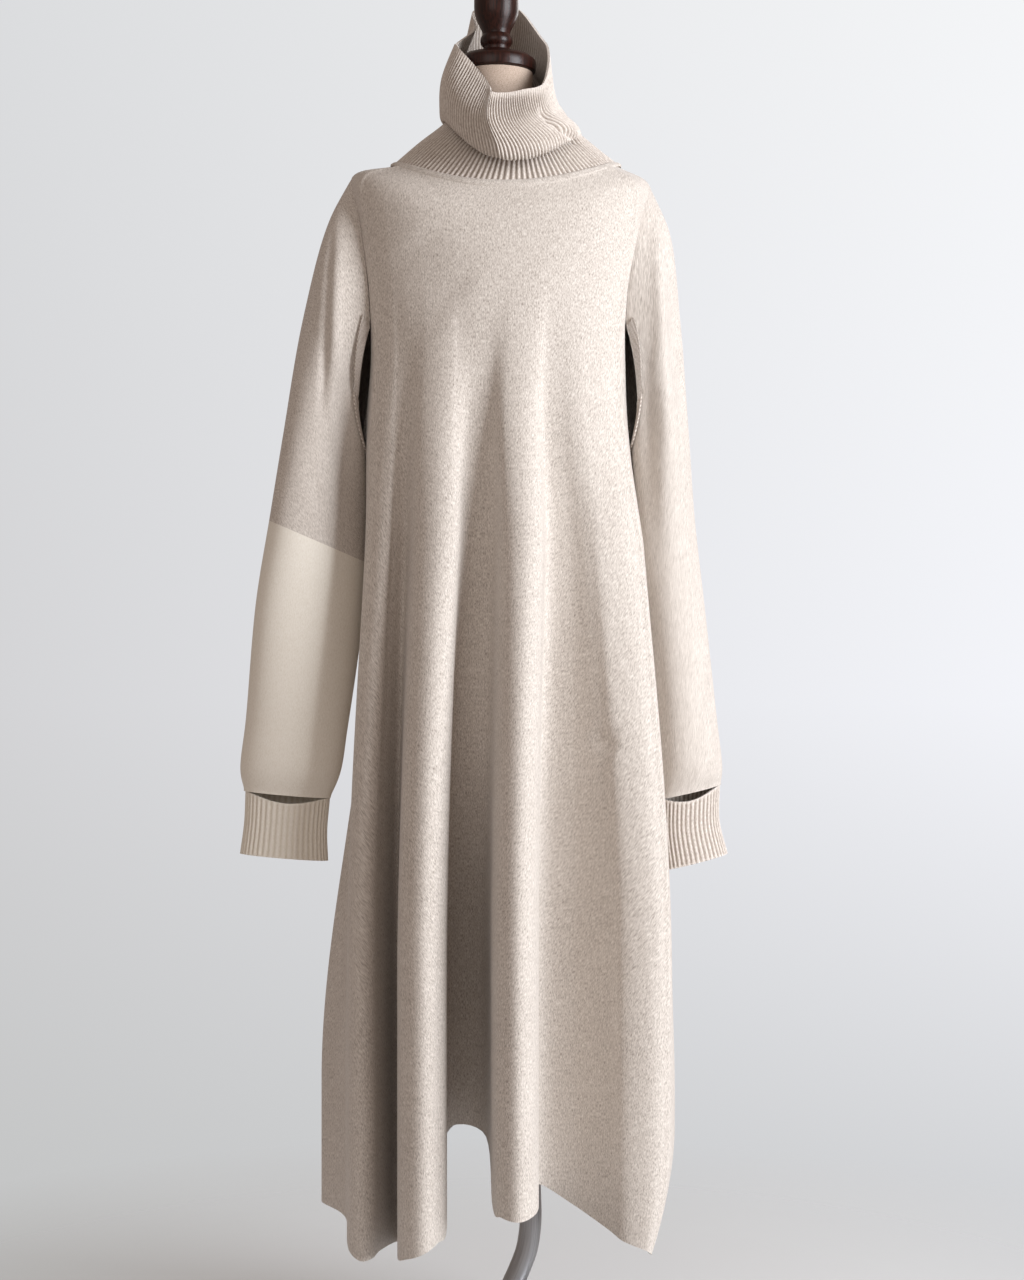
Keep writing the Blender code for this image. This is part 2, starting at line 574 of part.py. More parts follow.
def make_underarm_band(name, table, is_left, look):
    """A rib strip on the sleeve along the vent's edge, made from the sleeve's points moved out."""
    angles = np.arange(SLEEVE_SIDES) * 360.0 / SLEEVE_SIDES
    angles = angles[(angles > VENT_EDGE) & (angles < 360 - VENT_EDGE_BACK)]
    fine = np.linspace(0, 1, 121)
    grid = sleeve_grid(table, is_left, angles, fine)
    normals = turned_outwards(grid, np.cross(np.gradient(grid, axis=0), np.gradient(grid, axis=1)))
    normals = unit(normals)
    starts = vent_shares(angles, BAND_START)
    width = np.linspace(0, BAND_WIDTH / SLEEVE_LENGTH, 3)
    outer = np.empty((3, len(angles), 3))
    normal = np.empty((3, len(angles), 3))
    for j in range(len(angles)):
        for axis in range(3):
            outer[:, j, axis] = np.interp(starts[j] + width, fine, grid[:, j, axis])
            normal[:, j, axis] = np.interp(starts[j] + width, fine, normals[:, j, axis])
    normal = unit(normal)
    under = outer + normal * BAND_LIFT
    over = outer + normal * (BAND_LIFT + RIB)
    if is_left:
        over, under = over[:, ::-1], under[:, ::-1]
    wall(name, over, under, look)


def collar_grid(places, angles):
    """Points of the collar: angle 0 in front, positive to the left."""
    values = through(range(len(COLLAR)), np.array([line[1:] for line in COLLAR], float), places)
    radians = np.radians(angles)
    grid = []
    for x_right, z_right, x_left, z_left, y_front, z_front, y_back, z_back in values:
        x, y = oval(x_right, x_left, y_front, y_back, radians, 2.1)
        z_side = np.where(radians > 0, z_left, z_right)
        z = mix(np.where(np.cos(radians) > 0, z_front, z_back), z_side, np.sin(radians) ** 2)
        grid.append(np.stack([x, y, z], axis=1))
    return np.array(grid)


def make_collar(look):
    angles = np.arange(COLLAR_SIDES) * 360.0 / COLLAR_SIDES - 180.0
    places = np.linspace(0, len(COLLAR) - 1, 11)
    grid = collar_grid(places, angles)
    grid[0, :, 2] += COLLAR_LIFT
    edge = np.array(RIM_EDGE)
    keys = np.concatenate([edge[:, 0], [180]])
    wanted = through(keys, np.concatenate([edge[:, 1:], edge[:1, 1:]]), angles)
    reach = smooth((places - ROLL_RING) / (len(COLLAR) - 1 - ROLL_RING))
    grid = grid + reach[:, None, None] * (wanted - grid[-1])[None]
    normal = np.cross(np.gradient(grid, axis=0), np.roll(grid, -1, axis=1) - np.roll(grid, 1, axis=1))
    normal = -unit(normal)
    inner = grid - normal * RIB
    wall("collar", grid[:, ::-1], inner[:, ::-1], look, closed=True)


def make_neck_trim(look):
    """A raised band over the neck seam, from the points beside the seam moved out."""
    angles = np.arange(COLLAR_SIDES) * 360.0 / COLLAR_SIDES - 180.0
    above = collar_grid([TRIM_ABOVE], angles)[0]
    seam = collar_grid([0.0], angles)[0]
    below = np.stack(body_base(TRIM_BELOW, np.radians(angles)), axis=1)
    tangent = np.roll(seam, -1, axis=0) - np.roll(seam, 1, axis=0)
    out = unit(unit(np.cross(tangent, seam - below)) + unit(np.cross(tangent, above - seam)))
    low = seam + unit(below - seam) * TRIM_HALF_WIDTH
    high = seam + unit(above - seam) * TRIM_HALF_WIDTH
    rows = np.array([low, seam, high]) + out * TRIM_LIFT[:, None, None]
    wall("neck_trim", (rows + out * TRIM_THICK[:, None, None])[::-1], rows[::-1], look, closed=True)


def torso_grid(heights, columns):
    keys = [line[1] for line in TORSO]
    values = through(keys, np.array([line[2:] for line in TORSO], float), heights)
    angle = np.arange(columns) * 2 * np.pi / columns
    grid = []
    for height, (half, front, back) in zip(heights, values):
        x, y = oval(-half, half, -front, back, angle, 2.0 + 0.25 * (half > 0.07))
        grid.append(np.stack([x + FORM_X, y, np.full(columns, height)], axis=1))
    return np.array(grid)


def capped(name, grid, look):
    """A solid from closed rings, the first at the bottom, with a flat face at each end."""
    mesh = bpy.data.meshes.new(name)
    builder = bmesh.new()
    loops = [[builder.verts.new(point) for point in line] for line in grid]
    count = len(loops[0])
    for low, high in zip(loops, loops[1:]):
        for j in range(count):
            k = (j + 1) % count
            builder.faces.new((low[j], low[k], high[k], high[j])).smooth = True
    builder.faces.new(loops[0][::-1])
    builder.faces.new(loops[-1])
    bmesh.ops.recalc_face_normals(builder, faces=builder.faces)
    builder.to_mesh(mesh)
    builder.free()
    mesh.set_sharp_from_angle(angle=np.radians(40))
    return place(name, mesh, look)


def turned(name, profile, look, segments, squash=1.0):
    """A turned solid from a profile of radius and height, bottom to top, on the form's or stand's axis."""
    rings = []
    for radius, height in profile[1:-1]:
        angle = np.arange(segments) * 2 * np.pi / segments
        flat = np.full(segments, height)
        rings.append(np.stack([radius * np.cos(angle), squash * radius * np.sin(angle), flat], axis=1))
    return capped(name, np.array(rings), look)


def make_form(linen, wood, metal):
    heights = np.array([0.7000, 0.73, 0.765, 0.80, 0.85, 0.90, 0.95, 1.0, 1.05, 1.09, 1.13, 1.17,
                        1.205, 1.235, 1.255, 1.270, 1.282, 1.292, 1.302, 1.314, 1.326, 1.340, 1.360, 1.42])
    capped("form_torso", torso_grid(heights, 28), linen)
    for name, profile, look, segments, squash in (
        ("form_neck_cap", CAP, wood, 28, 1.0),
        ("form_finial", FINIAL, wood, 20, 1.0),
        ("form_base_board", BOARD, wood, 28, 0.66),
        ("stand_flange", FLANGE, metal, 24, 1.0),
    ):
        turned(name, profile, look, segments, squash).location.x = FORM_X
    for name, side in (("form_arm_plate_right", -1), ("form_arm_plate_left", 1)):
        angle = np.arange(24) * 2 * np.pi / 24
        face = torso_face(side, angle)
        outward = np.array([side * ARM_PLATE["thick"], 0, 0])
        flat = np.array([face + np.array([side * SEAM, 0, 0]), face + outward])
        capped(name, flat if side > 0 else flat[:, ::-1], wood)


def torso_face(side, angle):
    """The oval of an arm plate, laid just outside the widest x that the torso has behind it."""
    y = ARM_PLATE["y"] * np.cos(angle)
    z = ARM_PLATE["centre_z"] + ARM_PLATE["z"] * np.sin(angle)
    widest = torso_grid(np.linspace(1.04, 1.21, 12), 72)
    reach = np.interp(z, widest[:, 0, 2], (side * (widest[:, :, 0] - FORM_X)).max(axis=1))
    return np.stack([FORM_X + side * (reach + 0.0006), y, z], axis=1)


def make_pole(metal):
    curve = bpy.data.curves.new("stand_pole", "CURVE")
    curve.dimensions = "3D"
    curve.bevel_depth = POLE_RADIUS
    curve.bevel_resolution = 3
    curve.use_fill_caps = True
    route = np.array([(x, 0.0, z) for x, z in POLE])
    lengths = np.concatenate([[0], np.cumsum(np.linalg.norm(np.diff(route, axis=0), axis=1))])
    bends = np.concatenate([np.linspace(0, 0.125, 14), np.linspace(0.125, 0.42, 3)[1:],
                            np.linspace(0.42, lengths[-1], 15)[1:]])
    points = through(lengths, route, bends)
    points[0] = route[0]
    points[-1] = route[-1]
    points[1, 0] = points[0, 0]
    points[-2, 0] = points[-1, 0]
    spline = curve.splines.new("POLY")
    spline.points.add(len(points) - 1)
    for target, point in zip(spline.points, points):
        target.co = (*point, 1.0)
    obj = bpy.data.objects.new("stand_pole", curve)
    curve.materials.append(metal)
    bpy.context.scene.collection.objects.link(obj)


def make_stand(metal):
    turned("stand_base", BASE, metal, 48)
    turned("stand_socket", SOCKET, metal, 24)
    make_pole(metal)


def main():
    clear_scene()
    heather = material("oatmeal_heather_knit", (0.60, 0.55, 0.50), 0.9)
    cream = material("cream_knit", (0.74, 0.69, 0.62), 0.9)
    linen = material("linen", (0.52, 0.43, 0.34), 0.85)
    wood = material("dark_wood", (0.05, 0.018, 0.012), 0.35)
    steel = material("satin_steel", (0.42, 0.42, 0.43), 0.35, 1.0)
    make_body(heather)
    make_sleeve("sleeve_left", SLEEVE_LEFT, True, 0, 1, 12, heather)
    make_sleeve("sleeve_right_upper", SLEEVE_RIGHT, False, 0, COLOUR_SPLIT, 7, heather)
    make_sleeve("sleeve_right_lower", SLEEVE_RIGHT, False, COLOUR_SPLIT, 1, 6, cream)
    make_cuff("cuff_left", CUFF_LEFT, True, heather)
    make_cuff("cuff_right", CUFF_RIGHT, False, cream)
    make_underarm_band("underarm_band_left", SLEEVE_LEFT, True, heather)
    make_underarm_band("underarm_band_right", SLEEVE_RIGHT, False, heather)
    make_collar(heather)
    make_neck_trim(heather)
    make_form(linen, wood, steel)
    make_stand(steel)


main()
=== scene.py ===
"""Looks of a turtleneck sweater dress on its limbless form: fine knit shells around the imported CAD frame.

Metres, +Z up, the front faces -Y; right and left are the wearer's, so right is at -X. Each cloth piece is a
thin shell on the form of its CAD solid, with its folds, creases and ribs as geometry and its yarn as nodes.
"""

import bpy
import numpy as np
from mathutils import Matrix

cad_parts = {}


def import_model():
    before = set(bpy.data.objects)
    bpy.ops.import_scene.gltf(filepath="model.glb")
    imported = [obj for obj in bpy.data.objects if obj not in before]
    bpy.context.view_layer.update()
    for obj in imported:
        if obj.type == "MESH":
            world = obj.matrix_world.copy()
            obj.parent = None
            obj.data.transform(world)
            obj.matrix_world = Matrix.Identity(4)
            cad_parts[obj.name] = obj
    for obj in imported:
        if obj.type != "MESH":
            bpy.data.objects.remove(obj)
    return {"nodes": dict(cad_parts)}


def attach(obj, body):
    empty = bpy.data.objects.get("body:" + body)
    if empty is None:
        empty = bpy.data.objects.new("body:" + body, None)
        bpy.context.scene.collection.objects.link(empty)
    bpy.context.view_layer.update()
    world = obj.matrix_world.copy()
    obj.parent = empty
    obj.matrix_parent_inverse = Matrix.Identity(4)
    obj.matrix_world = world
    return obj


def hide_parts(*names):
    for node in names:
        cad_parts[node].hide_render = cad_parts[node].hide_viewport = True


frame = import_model()
SCENE = bpy.context.scene
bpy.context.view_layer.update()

# Thickness of the plain knit and of the rib.
CLOTH = 0.0022
RIB = 0.0026
# Body rows at which the armhole and the skirt begin and end.
ARMHOLE_TOP = 1
ARMHOLE_FOOT = 5
SKIRT_TOP = 6
SKIRT_FOOT = 10
# Degrees by which a panel stops short of the side at most, and the share of its width that moves in for it.
ARMHOLE_CUT = 21.0
EDGE_REACH = 0.36

# The smooth body before it is folded, ring by ring: x at both sides, y in front and behind, and heights.
BODY = (
    ("neck", -0.119, 0.132, -0.088, 0.078, 1.317, 1.317, 1.281, 1.325),
    ("shoulder", -0.163, 0.165, -0.099, 0.088, 1.306, 1.296, 1.252, 1.285),
    ("upper_arm", -0.161, 0.163, -0.106, 0.093, 1.250, 1.242, 1.212, 1.235),
    ("chest", -0.153, 0.152, -0.110, 0.096, 1.175, 1.172, 1.163, 1.172),
    ("bust", -0.147, 0.144, -0.109, 0.096, 1.100, 1.100, 1.098, 1.100),
    ("underarm", -0.1475, 0.1415, -0.106, 0.095, 1.028, 1.028, 1.026, 1.028),
    ("waist", -0.1465, 0.1535, -0.100, 0.092, 0.900, 0.900, 0.900, 0.900),
)
# Heights between which a fold grows: for how far out it stands, and for how far sideways it goes.
SCHEDULES = {
    "early": (1.215, 0.400, 1.190, 0.440),
    "flare": (0.890, 0.400, 0.960, 0.330),
    "flank": (0.960, 0.320, 1.190, 0.440),
    "deep": (0.705, 0.400, 1.190, 0.440),
    "behind": (0.700, 0.400, 1.190, 0.440),
    "late": (0.800, 0.330, 0.860, 0.300),
}
# Folds in order round the body: name, kind, schedule, x at the chest, x and y at the hem, half widths before
# and after, y of the flanks, and the hem's heights before, at and after.
FOLDS = (
    ("side_right", "seam", "flare", -0.1465, -0.172, 0.020, 0, 0, 0, 0, 0.158, 0),
    ("front_b", "ridge", "early", -0.120, -0.146, -0.092, 0.018, 0.018, -0.056, 0.150, 0.140, 0.142),
    ("valley_bc", "valley", "flank", -0.094, -0.112, 0.006, 0, 0, 0, 0, 0.134, 0),
    ("front_c", "ridge", "early", -0.058, -0.079, -0.153, 0.028, 0.024, -0.110, 0.148, 0.164, 0.182),
    ("valley_cd", "trough", "deep", -0.012, -0.039, -0.004, 0.024, 0.022, 0, 0, 0.255, 0),
    ("front_d", "ridge", "early", 0.030, 0.019, -0.178, 0.026, 0.022, -0.134, 0.208, 0.204, 0.208),
    ("valley_de", "valley", "early", 0.057, 0.041, -0.060, 0, 0, 0, 0, 0.214, 0),
    ("front_low", "valley", "early", 0.070, 0.078, -0.058, 0, 0, 0, 0, 0.192, 0),
    ("front_e", "ridge", "early", 0.118, 0.157, -0.107, 0.042, 0.026, -0.084, 0.172, 0.156, 0.146),
    ("side_left", "seam", "late", 0.1535, 0.192, 0.002, 0, 0, 0, 0, 0.137, 0),
    ("back_f", "ridge", "late", 0.134, 0.166, 0.090, 0.020, 0.020, 0.060, 0.185, 0.190, 0.185),
    ("valley_fg", "valley", "behind", 0.106, 0.130, 0.030, 0, 0, 0, 0, 0.195, 0),
    ("back_g", "ridge", "early", 0.068, 0.084, 0.150, 0.034, 0.034, 0.108, 0.185, 0.178, 0.182),
    ("valley_gh", "valley", "behind", 0.024, 0.030, 0.052, 0, 0, 0, 0, 0.218, 0),
    ("back_h", "ridge", "early", -0.018, -0.024, 0.160, 0.034, 0.034, 0.118, 0.224, 0.236, 0.236),
    ("valley_hj", "valley", "behind", -0.060, -0.072, 0.048, 0, 0, 0, 0, 0.232, 0),
    ("back_j", "ridge", "early", -0.094, -0.118, 0.132, 0.024, 0.024, 0.096, 0.212, 0.192, 0.182),
    ("back_a", "ridge", "late", -0.129, -0.186, 0.088, 0.012, 0.016, 0.074, 0.170, 0.162, 0.160),
)
# How wide a ridge and a trough are at the chest, as shares of what they are at the hem.
CHEST_FLANK = 0.85
CHEST_TROUGH = 0.36
# Where a ridge's shoulders lie between crown and flanks: in x at the chest, then in x, y and z at the hem.
ROUNDING = np.array([0.60, 0.64, 0.26, 0.50])
# How far in the hem's left corner is, from which x over what width, and below which height over what drop.
CORNER_TUCK = 0.030
CORNER_X = 0.150
CORNER_SPAN = 0.040
CORNER_TOP = 0.270
CORNER_FALL = 0.132
# The heights between which a deep valley sinks before the torso, and the share of its depth that it keeps.
VALLEY_TOP = 1.150
VALLEY_FULL = 0.860
VALLEY_IN = 0.78
# Powers of the plans, where 2 is an ellipse.
SQUARENESS = 2.25
COLLAR_SQUARENESS = 2.1

# Collar rings: x and height at both sides, y and height in front, the same behind.
COLLAR = (
    ("seam", -0.119, 1.317, 0.132, 1.317, -0.088, 1.281, 0.078, 1.325),
    ("cone", -0.090, 1.342, 0.108, 1.336, -0.082, 1.302, 0.070, 1.355),
    ("throat", -0.064, 1.362, 0.086, 1.354, -0.073, 1.324, 0.063, 1.385),
    ("tuck", -0.0565, 1.372, 0.074, 1.363, -0.069, 1.334, 0.060, 1.400),
    ("under", -0.059, 1.367, 0.078, 1.354, -0.086, 1.314, 0.059, 1.410),
    ("sag", -0.0635, 1.366, 0.0885, 1.347, -0.100, 1.302, 0.058, 1.420),
    ("roll", -0.0665, 1.377, 0.087, 1.358, -0.111, 1.313, 0.057, 1.435),
    ("wall", -0.064, 1.408, 0.064, 1.392, -0.108, 1.345, 0.055, 1.462),
    ("rim", -0.048, 1.446, 0.0555, 1.447, -0.076, 1.386, 0.051, 1.505),
)
ROLL_RING = 6
# The collar's soft front corner: how far it stands out, its angle, and the angle over which it fades.
CORNER_OUT = 0.007
CORNER_ANGLE = -8
CORNER_FADE = 17.0
# The band over the neck seam: its rows on the collar and the body, how far it reaches, lies and stands.
TRIM_ABOVE = 0.16
TRIM_BELOW = 0.13
TRIM_REACH = 0.0050
TRIM_LIFT = 0.0004
TRIM_RISE = 0.0020
# The rim's uneven edge: angle from the front, towards the left where positive, then x, y and z.
RIM_EDGE = (
    (-180, 0.004, 0.055, 1.507), (-150, -0.0304, 0.044, 1.502), (-125, -0.029, 0.03, 1.479),
    (-100, -0.048, 0.006, 1.456), (-75, -0.047, -0.028, 1.444), (-45, -0.026, -0.052, 1.415),
    (-20, -0.011, -0.076, 1.389), (-8, -0.009, -0.086, 1.3795), (10, 0.005, -0.084, 1.3785),
    (35, 0.025, -0.076, 1.384), (62, 0.047, -0.06, 1.395), (80, 0.053, -0.035, 1.418),
    (100, 0.054, -0.012, 1.444), (125, 0.0445, 0.018, 1.468), (150, 0.024, 0.048, 1.503),
)

# Sleeve rings: outer and inner edge in x and z, half depth, how far the inner edge lies behind the outer,
# and how far the ring stands back.
SLEEVE_RIGHT = (
    ("cap", -0.187, 1.254, -0.1470, 1.010, 0.064, 0.024, 0.000),
    ("upper", -0.2145, 1.150, -0.1460, 0.985, 0.056, 0.030, 0.000),
    ("biceps", -0.2365, 1.0175, -0.1450, 0.945, 0.048, 0.046, 0.000),
    ("block", -0.2505, 0.932, -0.1465, 0.886, 0.044, 0.046, 0.000),
    ("elbow", -0.266, 0.8415, -0.1525, 0.815, 0.038, 0.034, 0.000),
    ("forearm", -0.279, 0.7095, -0.168, 0.700, 0.031, 0.010, 0.000),
    ("wrist", -0.2855, 0.6545, -0.176, 0.650, 0.028, 0, 0),
    ("end", -0.281, 0.632, -0.187, 0.624, 0.020, 0, 0),
)
SLEEVE_LEFT = (
    ("cap", 0.186, 1.245, 0.1420, 1.010, 0.064, 0.014, 0.006),
    ("upper", 0.1985, 1.150, 0.1425, 0.985, 0.056, 0.008, 0.010),
    ("biceps", 0.2095, 1.0175, 0.1460, 0.945, 0.048, -0.004, 0.016),
    ("block", 0.2165, 0.932, 0.1520, 0.886, 0.044, -0.018, 0.020),
    ("elbow", 0.227, 0.8415, 0.163, 0.815, 0.040, -0.020, 0.022),
    ("forearm", 0.2415, 0.7095, 0.175, 0.700, 0.034, -0.020, 0.022),
    ("wrist", 0.2475, 0.6545, 0.1775, 0.650, 0.030, -0.020, 0.022),
    ("end", 0.2455, 0.637, 0.176, 0.622, 0.022, -0.020, 0.022),
)
CUFF_RIGHT = (
    ("top", -0.2800, 0.6314, -0.1870, 0.6234, 0.0196, 0, 0),
    ("middle", -0.2815, 0.597, -0.190, 0.588, 0.019, 0, 0),
    ("bottom", -0.286, 0.563, -0.189, 0.555, 0.020, 0, 0),
)
CUFF_LEFT = (
    ("top", 0.2450, 0.6364, 0.1750, 0.6214, 0.0215, -0.020, 0.022),
    ("middle", 0.2445, 0.597, 0.175, 0.584, 0.020, -0.018, 0.022),
    ("bottom", 0.2535, 0.560, 0.179, 0.543, 0.021, -0.018, 0.022),
)
# Shares of the length at which a sleeve is worked out, and the one at which the right sleeve turns cream.
FINE = np.linspace(0, 1, 241)
COLOUR_SPLIT = 0.546
# The hollow down a sleeve's inner front, from its angle.
GROOVE_ANGLE = 118.0
GROOVE_SPREAD = 26.0
GROOVE_DEPTH = 0.010
# How far a sleeve dips under the armhole's edge, and how far its end turns out.
SEAM_TUCK = 0.0006
END_LIP = 0.0007
# The underarm vent: the angles from which it opens, in front and behind, and its share of the length.
VENT_EDGE = 104.0
VENT_EDGE_BACK = 176.0
VENT_SHARE = 0.155
# The rib band along the vent: its angles, width, gaps to the vent's edge and the cloth, height and ribs.
BAND_ANGLES = (105.0, 178.0)
BAND_WIDTH = 0.0125
BAND_GAP = 0.0006
BAND_LIFT = 0.0004
BAND_TOP = 0.0016
BAND_RIBS = 0.0008
# How far it is round a sleeve for each radian, and along it, where the band is laid out.
BAND_AROUND = 0.055
BAND_ALONG = 0.70
# How far the cuff's edge drops at the thumb slit, and the angle from its middle over which it does.
SLIT_DROP = 0.0085
SLIT_EDGE = 74.0
# Depth of the grooves between ribs.
CUFF_RIBS = 0.0011
COLLAR_RIBS = 0.0016

# Creases: piece, side (-1 front, 1 back), half width, depth (a ridge where negative), and points of x and z.
CREASES = (
    ("body", -1, 0.012, 0.0035, ((0.098, 0.698), (0.112, 0.69), (0.126, 0.684))),
    ("body", -1, 0.04, 0.003, ((-0.105, 1.225), (-0.075, 1.18), (-0.035, 1.15))),
    ("body", 1, 0.014, 0.003, ((-0.06, 0.735), (-0.08, 0.722), (-0.1, 0.716))),
    ("sleeve_right", -1, 0.0045, 0.0036, ((-0.18, 1.262), (-0.184, 1.2), (-0.187, 1.12), (-0.192, 1.02))),
    ("sleeve_right", -1, 0.006, -0.0012, ((-0.168, 1.265), (-0.172, 1.2), (-0.176, 1.12), (-0.181, 1.02))),
    ("sleeve_left", -1, 0.01, 0.005, ((0.181, 1.245), (0.185, 1.18), (0.192, 1.1), (0.196, 1.05))),
    ("sleeve_left", -1, 0.007, -0.0035, ((0.168, 1.26), (0.172, 1.18), (0.178, 1.08), (0.184, 0.98))),
    ("sleeve_left", -1, 0.008, 0.004, ((0.192, 1.1), (0.2, 1.07), (0.206, 1.035))),
    ("sleeve_right", 1, 0.01, 0.0045, ((-0.18, 1.23), (-0.186, 1.14), (-0.196, 1.02))),
    ("sleeve_left", 1, 0.01, 0.0045, ((0.178, 1.23), (0.186, 1.14), (0.192, 1.02))),
    ("collar", -1, 0.0032, 0.004,
     ((0.044, 1.37), (0.046, 1.357), (0.056, 1.346), (0.072, 1.339), (0.092, 1.33))),
    ("collar", -1, 0.005, -0.002,
     ((0.05, 1.376), (0.056, 1.36), (0.066, 1.351), (0.082, 1.344), (0.096, 1.336))),
)

# The form's axis in x, and its torso's levels: height, half width, and depth in front and behind.
FORM_X = -0.004
TORSO = (
    ("board_edge", 0.7, 0.112, 0.068, 0.074),
    ("hip", 0.755, 0.116, 0.07, 0.077),
    ("high_hip", 0.82, 0.11, 0.068, 0.073),
    ("waist", 0.9, 0.101, 0.064, 0.067),
    ("rib", 1.000, 0.116, 0.077, 0.076),
    ("bust", 1.09, 0.128, 0.09, 0.08),
    ("chest", 1.17, 0.136, 0.086, 0.08),
    ("arm", 1.23, 0.141, 0.074, 0.072),
    ("shoulder", 1.268, 0.141, 0.062, 0.062),
    ("shoulder_top", 1.29, 0.126, 0.054, 0.056),
    ("neck_root", 1.312, 0.09, 0.05, 0.052),
    ("neck_base", 1.332, 0.056, 0.044, 0.048),
    ("neck", 1.36, 0.041, 0.04, 0.041),
    ("neck_top", 1.42, 0.04, 0.04, 0.04),
)
# Turned profiles: radius and height, from the bottom up.
CAP = (
    (0, 1.4205), (0.0405, 1.4205), (0.043, 1.4222), (0.0435, 1.4245), (0.0435, 1.432), (0.0425, 1.4345),
    (0.04, 1.4362), (0.0375, 1.4385), (0.022, 1.441), (0, 1.441),
)
FINIAL = (
    (0, 1.4413), (0.017, 1.4413), (0.0178, 1.4425), (0.017, 1.4445), (0.0145, 1.446), (0.0143, 1.448),
    (0.015, 1.45), (0.0172, 1.4525), (0.0178, 1.455), (0.0178, 1.457), (0.0172, 1.4595), (0.015, 1.463),
    (0.0152, 1.4645), (0.0165, 1.468), (0.0215, 1.478), (0.0238, 1.485), (0.0245, 1.492), (0.0245, 1.5),
    (0.024, 1.508), (0.0195, 1.523), (0.012, 1.534), (0.0075, 1.54), (0.0085, 1.546), (0.006, 1.552),
    (0, 1.554),
)
BASE = (
    (0, 0), (0.149, 0), (0.15, 0.001), (0.15, 0.007), (0.149, 0.0087), (0.147, 0.0095), (0.06, 0.012),
    (0, 0.012),
)
SOCKET = (
    (0, 0.0123), (0.034, 0.0123), (0.034, 0.0155), (0.033, 0.0165), (0.02, 0.022), (0.0175, 0.026),
    (0.0175, 0.0335), (0.0165, 0.0345), (0, 0.0345),
)
# The pole's route in x and z.
POLE_RADIUS = 0.012
POLE = ((0, 0.035), (0, 0.046), (0.0035, 0.064), (0.012, 0.085), (0.0215, 0.106), (0.0295, 0.128),
        (0.033, 0.15), (0.033, 0.2), (0.033, 0.3), (0.033, 0.4), (0.033, 0.51),
        (0.029, 0.535), (0.02, 0.558), (0.007, 0.582), (-0.002, 0.602), (FORM_X, 0.6247))


# ---- curves and grids ----


def smooth(value):
    value = np.clip(value, 0.0, 1.0)
    return value * value * (3.0 - 2.0 * value)


def mix(first, second, share):
    return first + (second - first) * share


def hermite(t, start, leave, end, arrive):
    """A cubic from start to end, for t from 0 to 1, that leaves and arrives at these rates."""
    return ((2 * t**3 - 3 * t**2 + 1) * start + (t**3 - 2 * t**2 + t) * leave
            + (3 * t**2 - 2 * t**3) * end + (t**3 - t**2) * arrive)


def through(keys, values, at):
    """Values on a smooth curve through the rows of values, one row for each key."""
    keys = np.asarray(keys, float)
    values = np.asarray(values, float)
    at = np.clip(np.asarray(at, float), keys[0], keys[-1])
    slopes = np.gradient(values, keys, axis=0)
    span = np.clip(np.searchsorted(keys, at, side="right") - 1, 0, len(keys) - 2)
    width = keys[span + 1] - keys[span]
    t = (at - keys[span]) / width
    shape = t.shape + (1,) * (values.ndim - 1)
    t = t.reshape(shape)
    width = width.reshape(shape)
    return hermite(t, values[span], width * slopes[span], values[span + 1], width * slopes[span + 1])


def closed_through(points, at):
    """Points on a smooth closed curve through points, where whole numbers are the points themselves."""
    count = len(points)
    at = np.asarray(at, float)
    span = np.floor(at).astype(int)
    t = (at - span)[:, None]
    before, start, end, after = (points[(span + step) % count] for step in (-1, 0, 1, 2))
    leave = 0.5 * (end - before)
    arrive = 0.5 * (after - start)
    return hermite(t, start, leave, end, arrive)


def unit(vectors):
    return vectors / np.maximum(np.linalg.norm(vectors, axis=-1, keepdims=True), 1e-12)


def turn(count, whole=360.0):
    """Even steps round a whole turn, in degrees unless told otherwise."""
    return np.arange(count) * whole / count


def run(points):
    """Length along a line of points, from its first."""
    return np.concatenate([[0], np.cumsum(np.linalg.norm(np.diff(points, axis=0), axis=1))])


def oval(x_right, x_left, y_front, y_back, angle, squareness):
    """Plan of an oval at an angle from the middle front, towards the left where it is positive."""
    centre = 0.5 * (x_right + x_left)
    half = 0.5 * (x_left - x_right)
    sine = np.sin(angle)
    cosine = np.cos(angle)
    depth = np.where(cosine > 0, y_front, y_back)
    power = 2.0 / squareness
    x = centre + half * np.sign(sine) * np.abs(sine) ** power
    return x, depth * np.abs(cosine) ** power


def normals_of(grid, closed):
    """Normals of a grid whose rows run down and whose columns run round. A closed grid's point out."""
    if closed:
        across = np.roll(grid, -1, axis=1) - np.roll(grid, 1, axis=1)
    else:
        across = np.gradient(grid, axis=1)
    normal = unit(np.cross(np.gradient(grid, axis=0), across))
    if closed and ((grid - grid.mean(axis=1, keepdims=True)) * normal).sum() < 0:
        return -normal
    return normal


def lengths_along(grid, axis):
    """Length in metres along one axis of a grid, from its first row or column."""
    steps = np.linalg.norm(np.diff(grid, axis=axis), axis=2)
    start = np.zeros_like(np.take(steps, [0], axis=axis))
    return np.cumsum(np.concatenate([start, steps], axis=axis), axis=axis)


# ---- the body ----


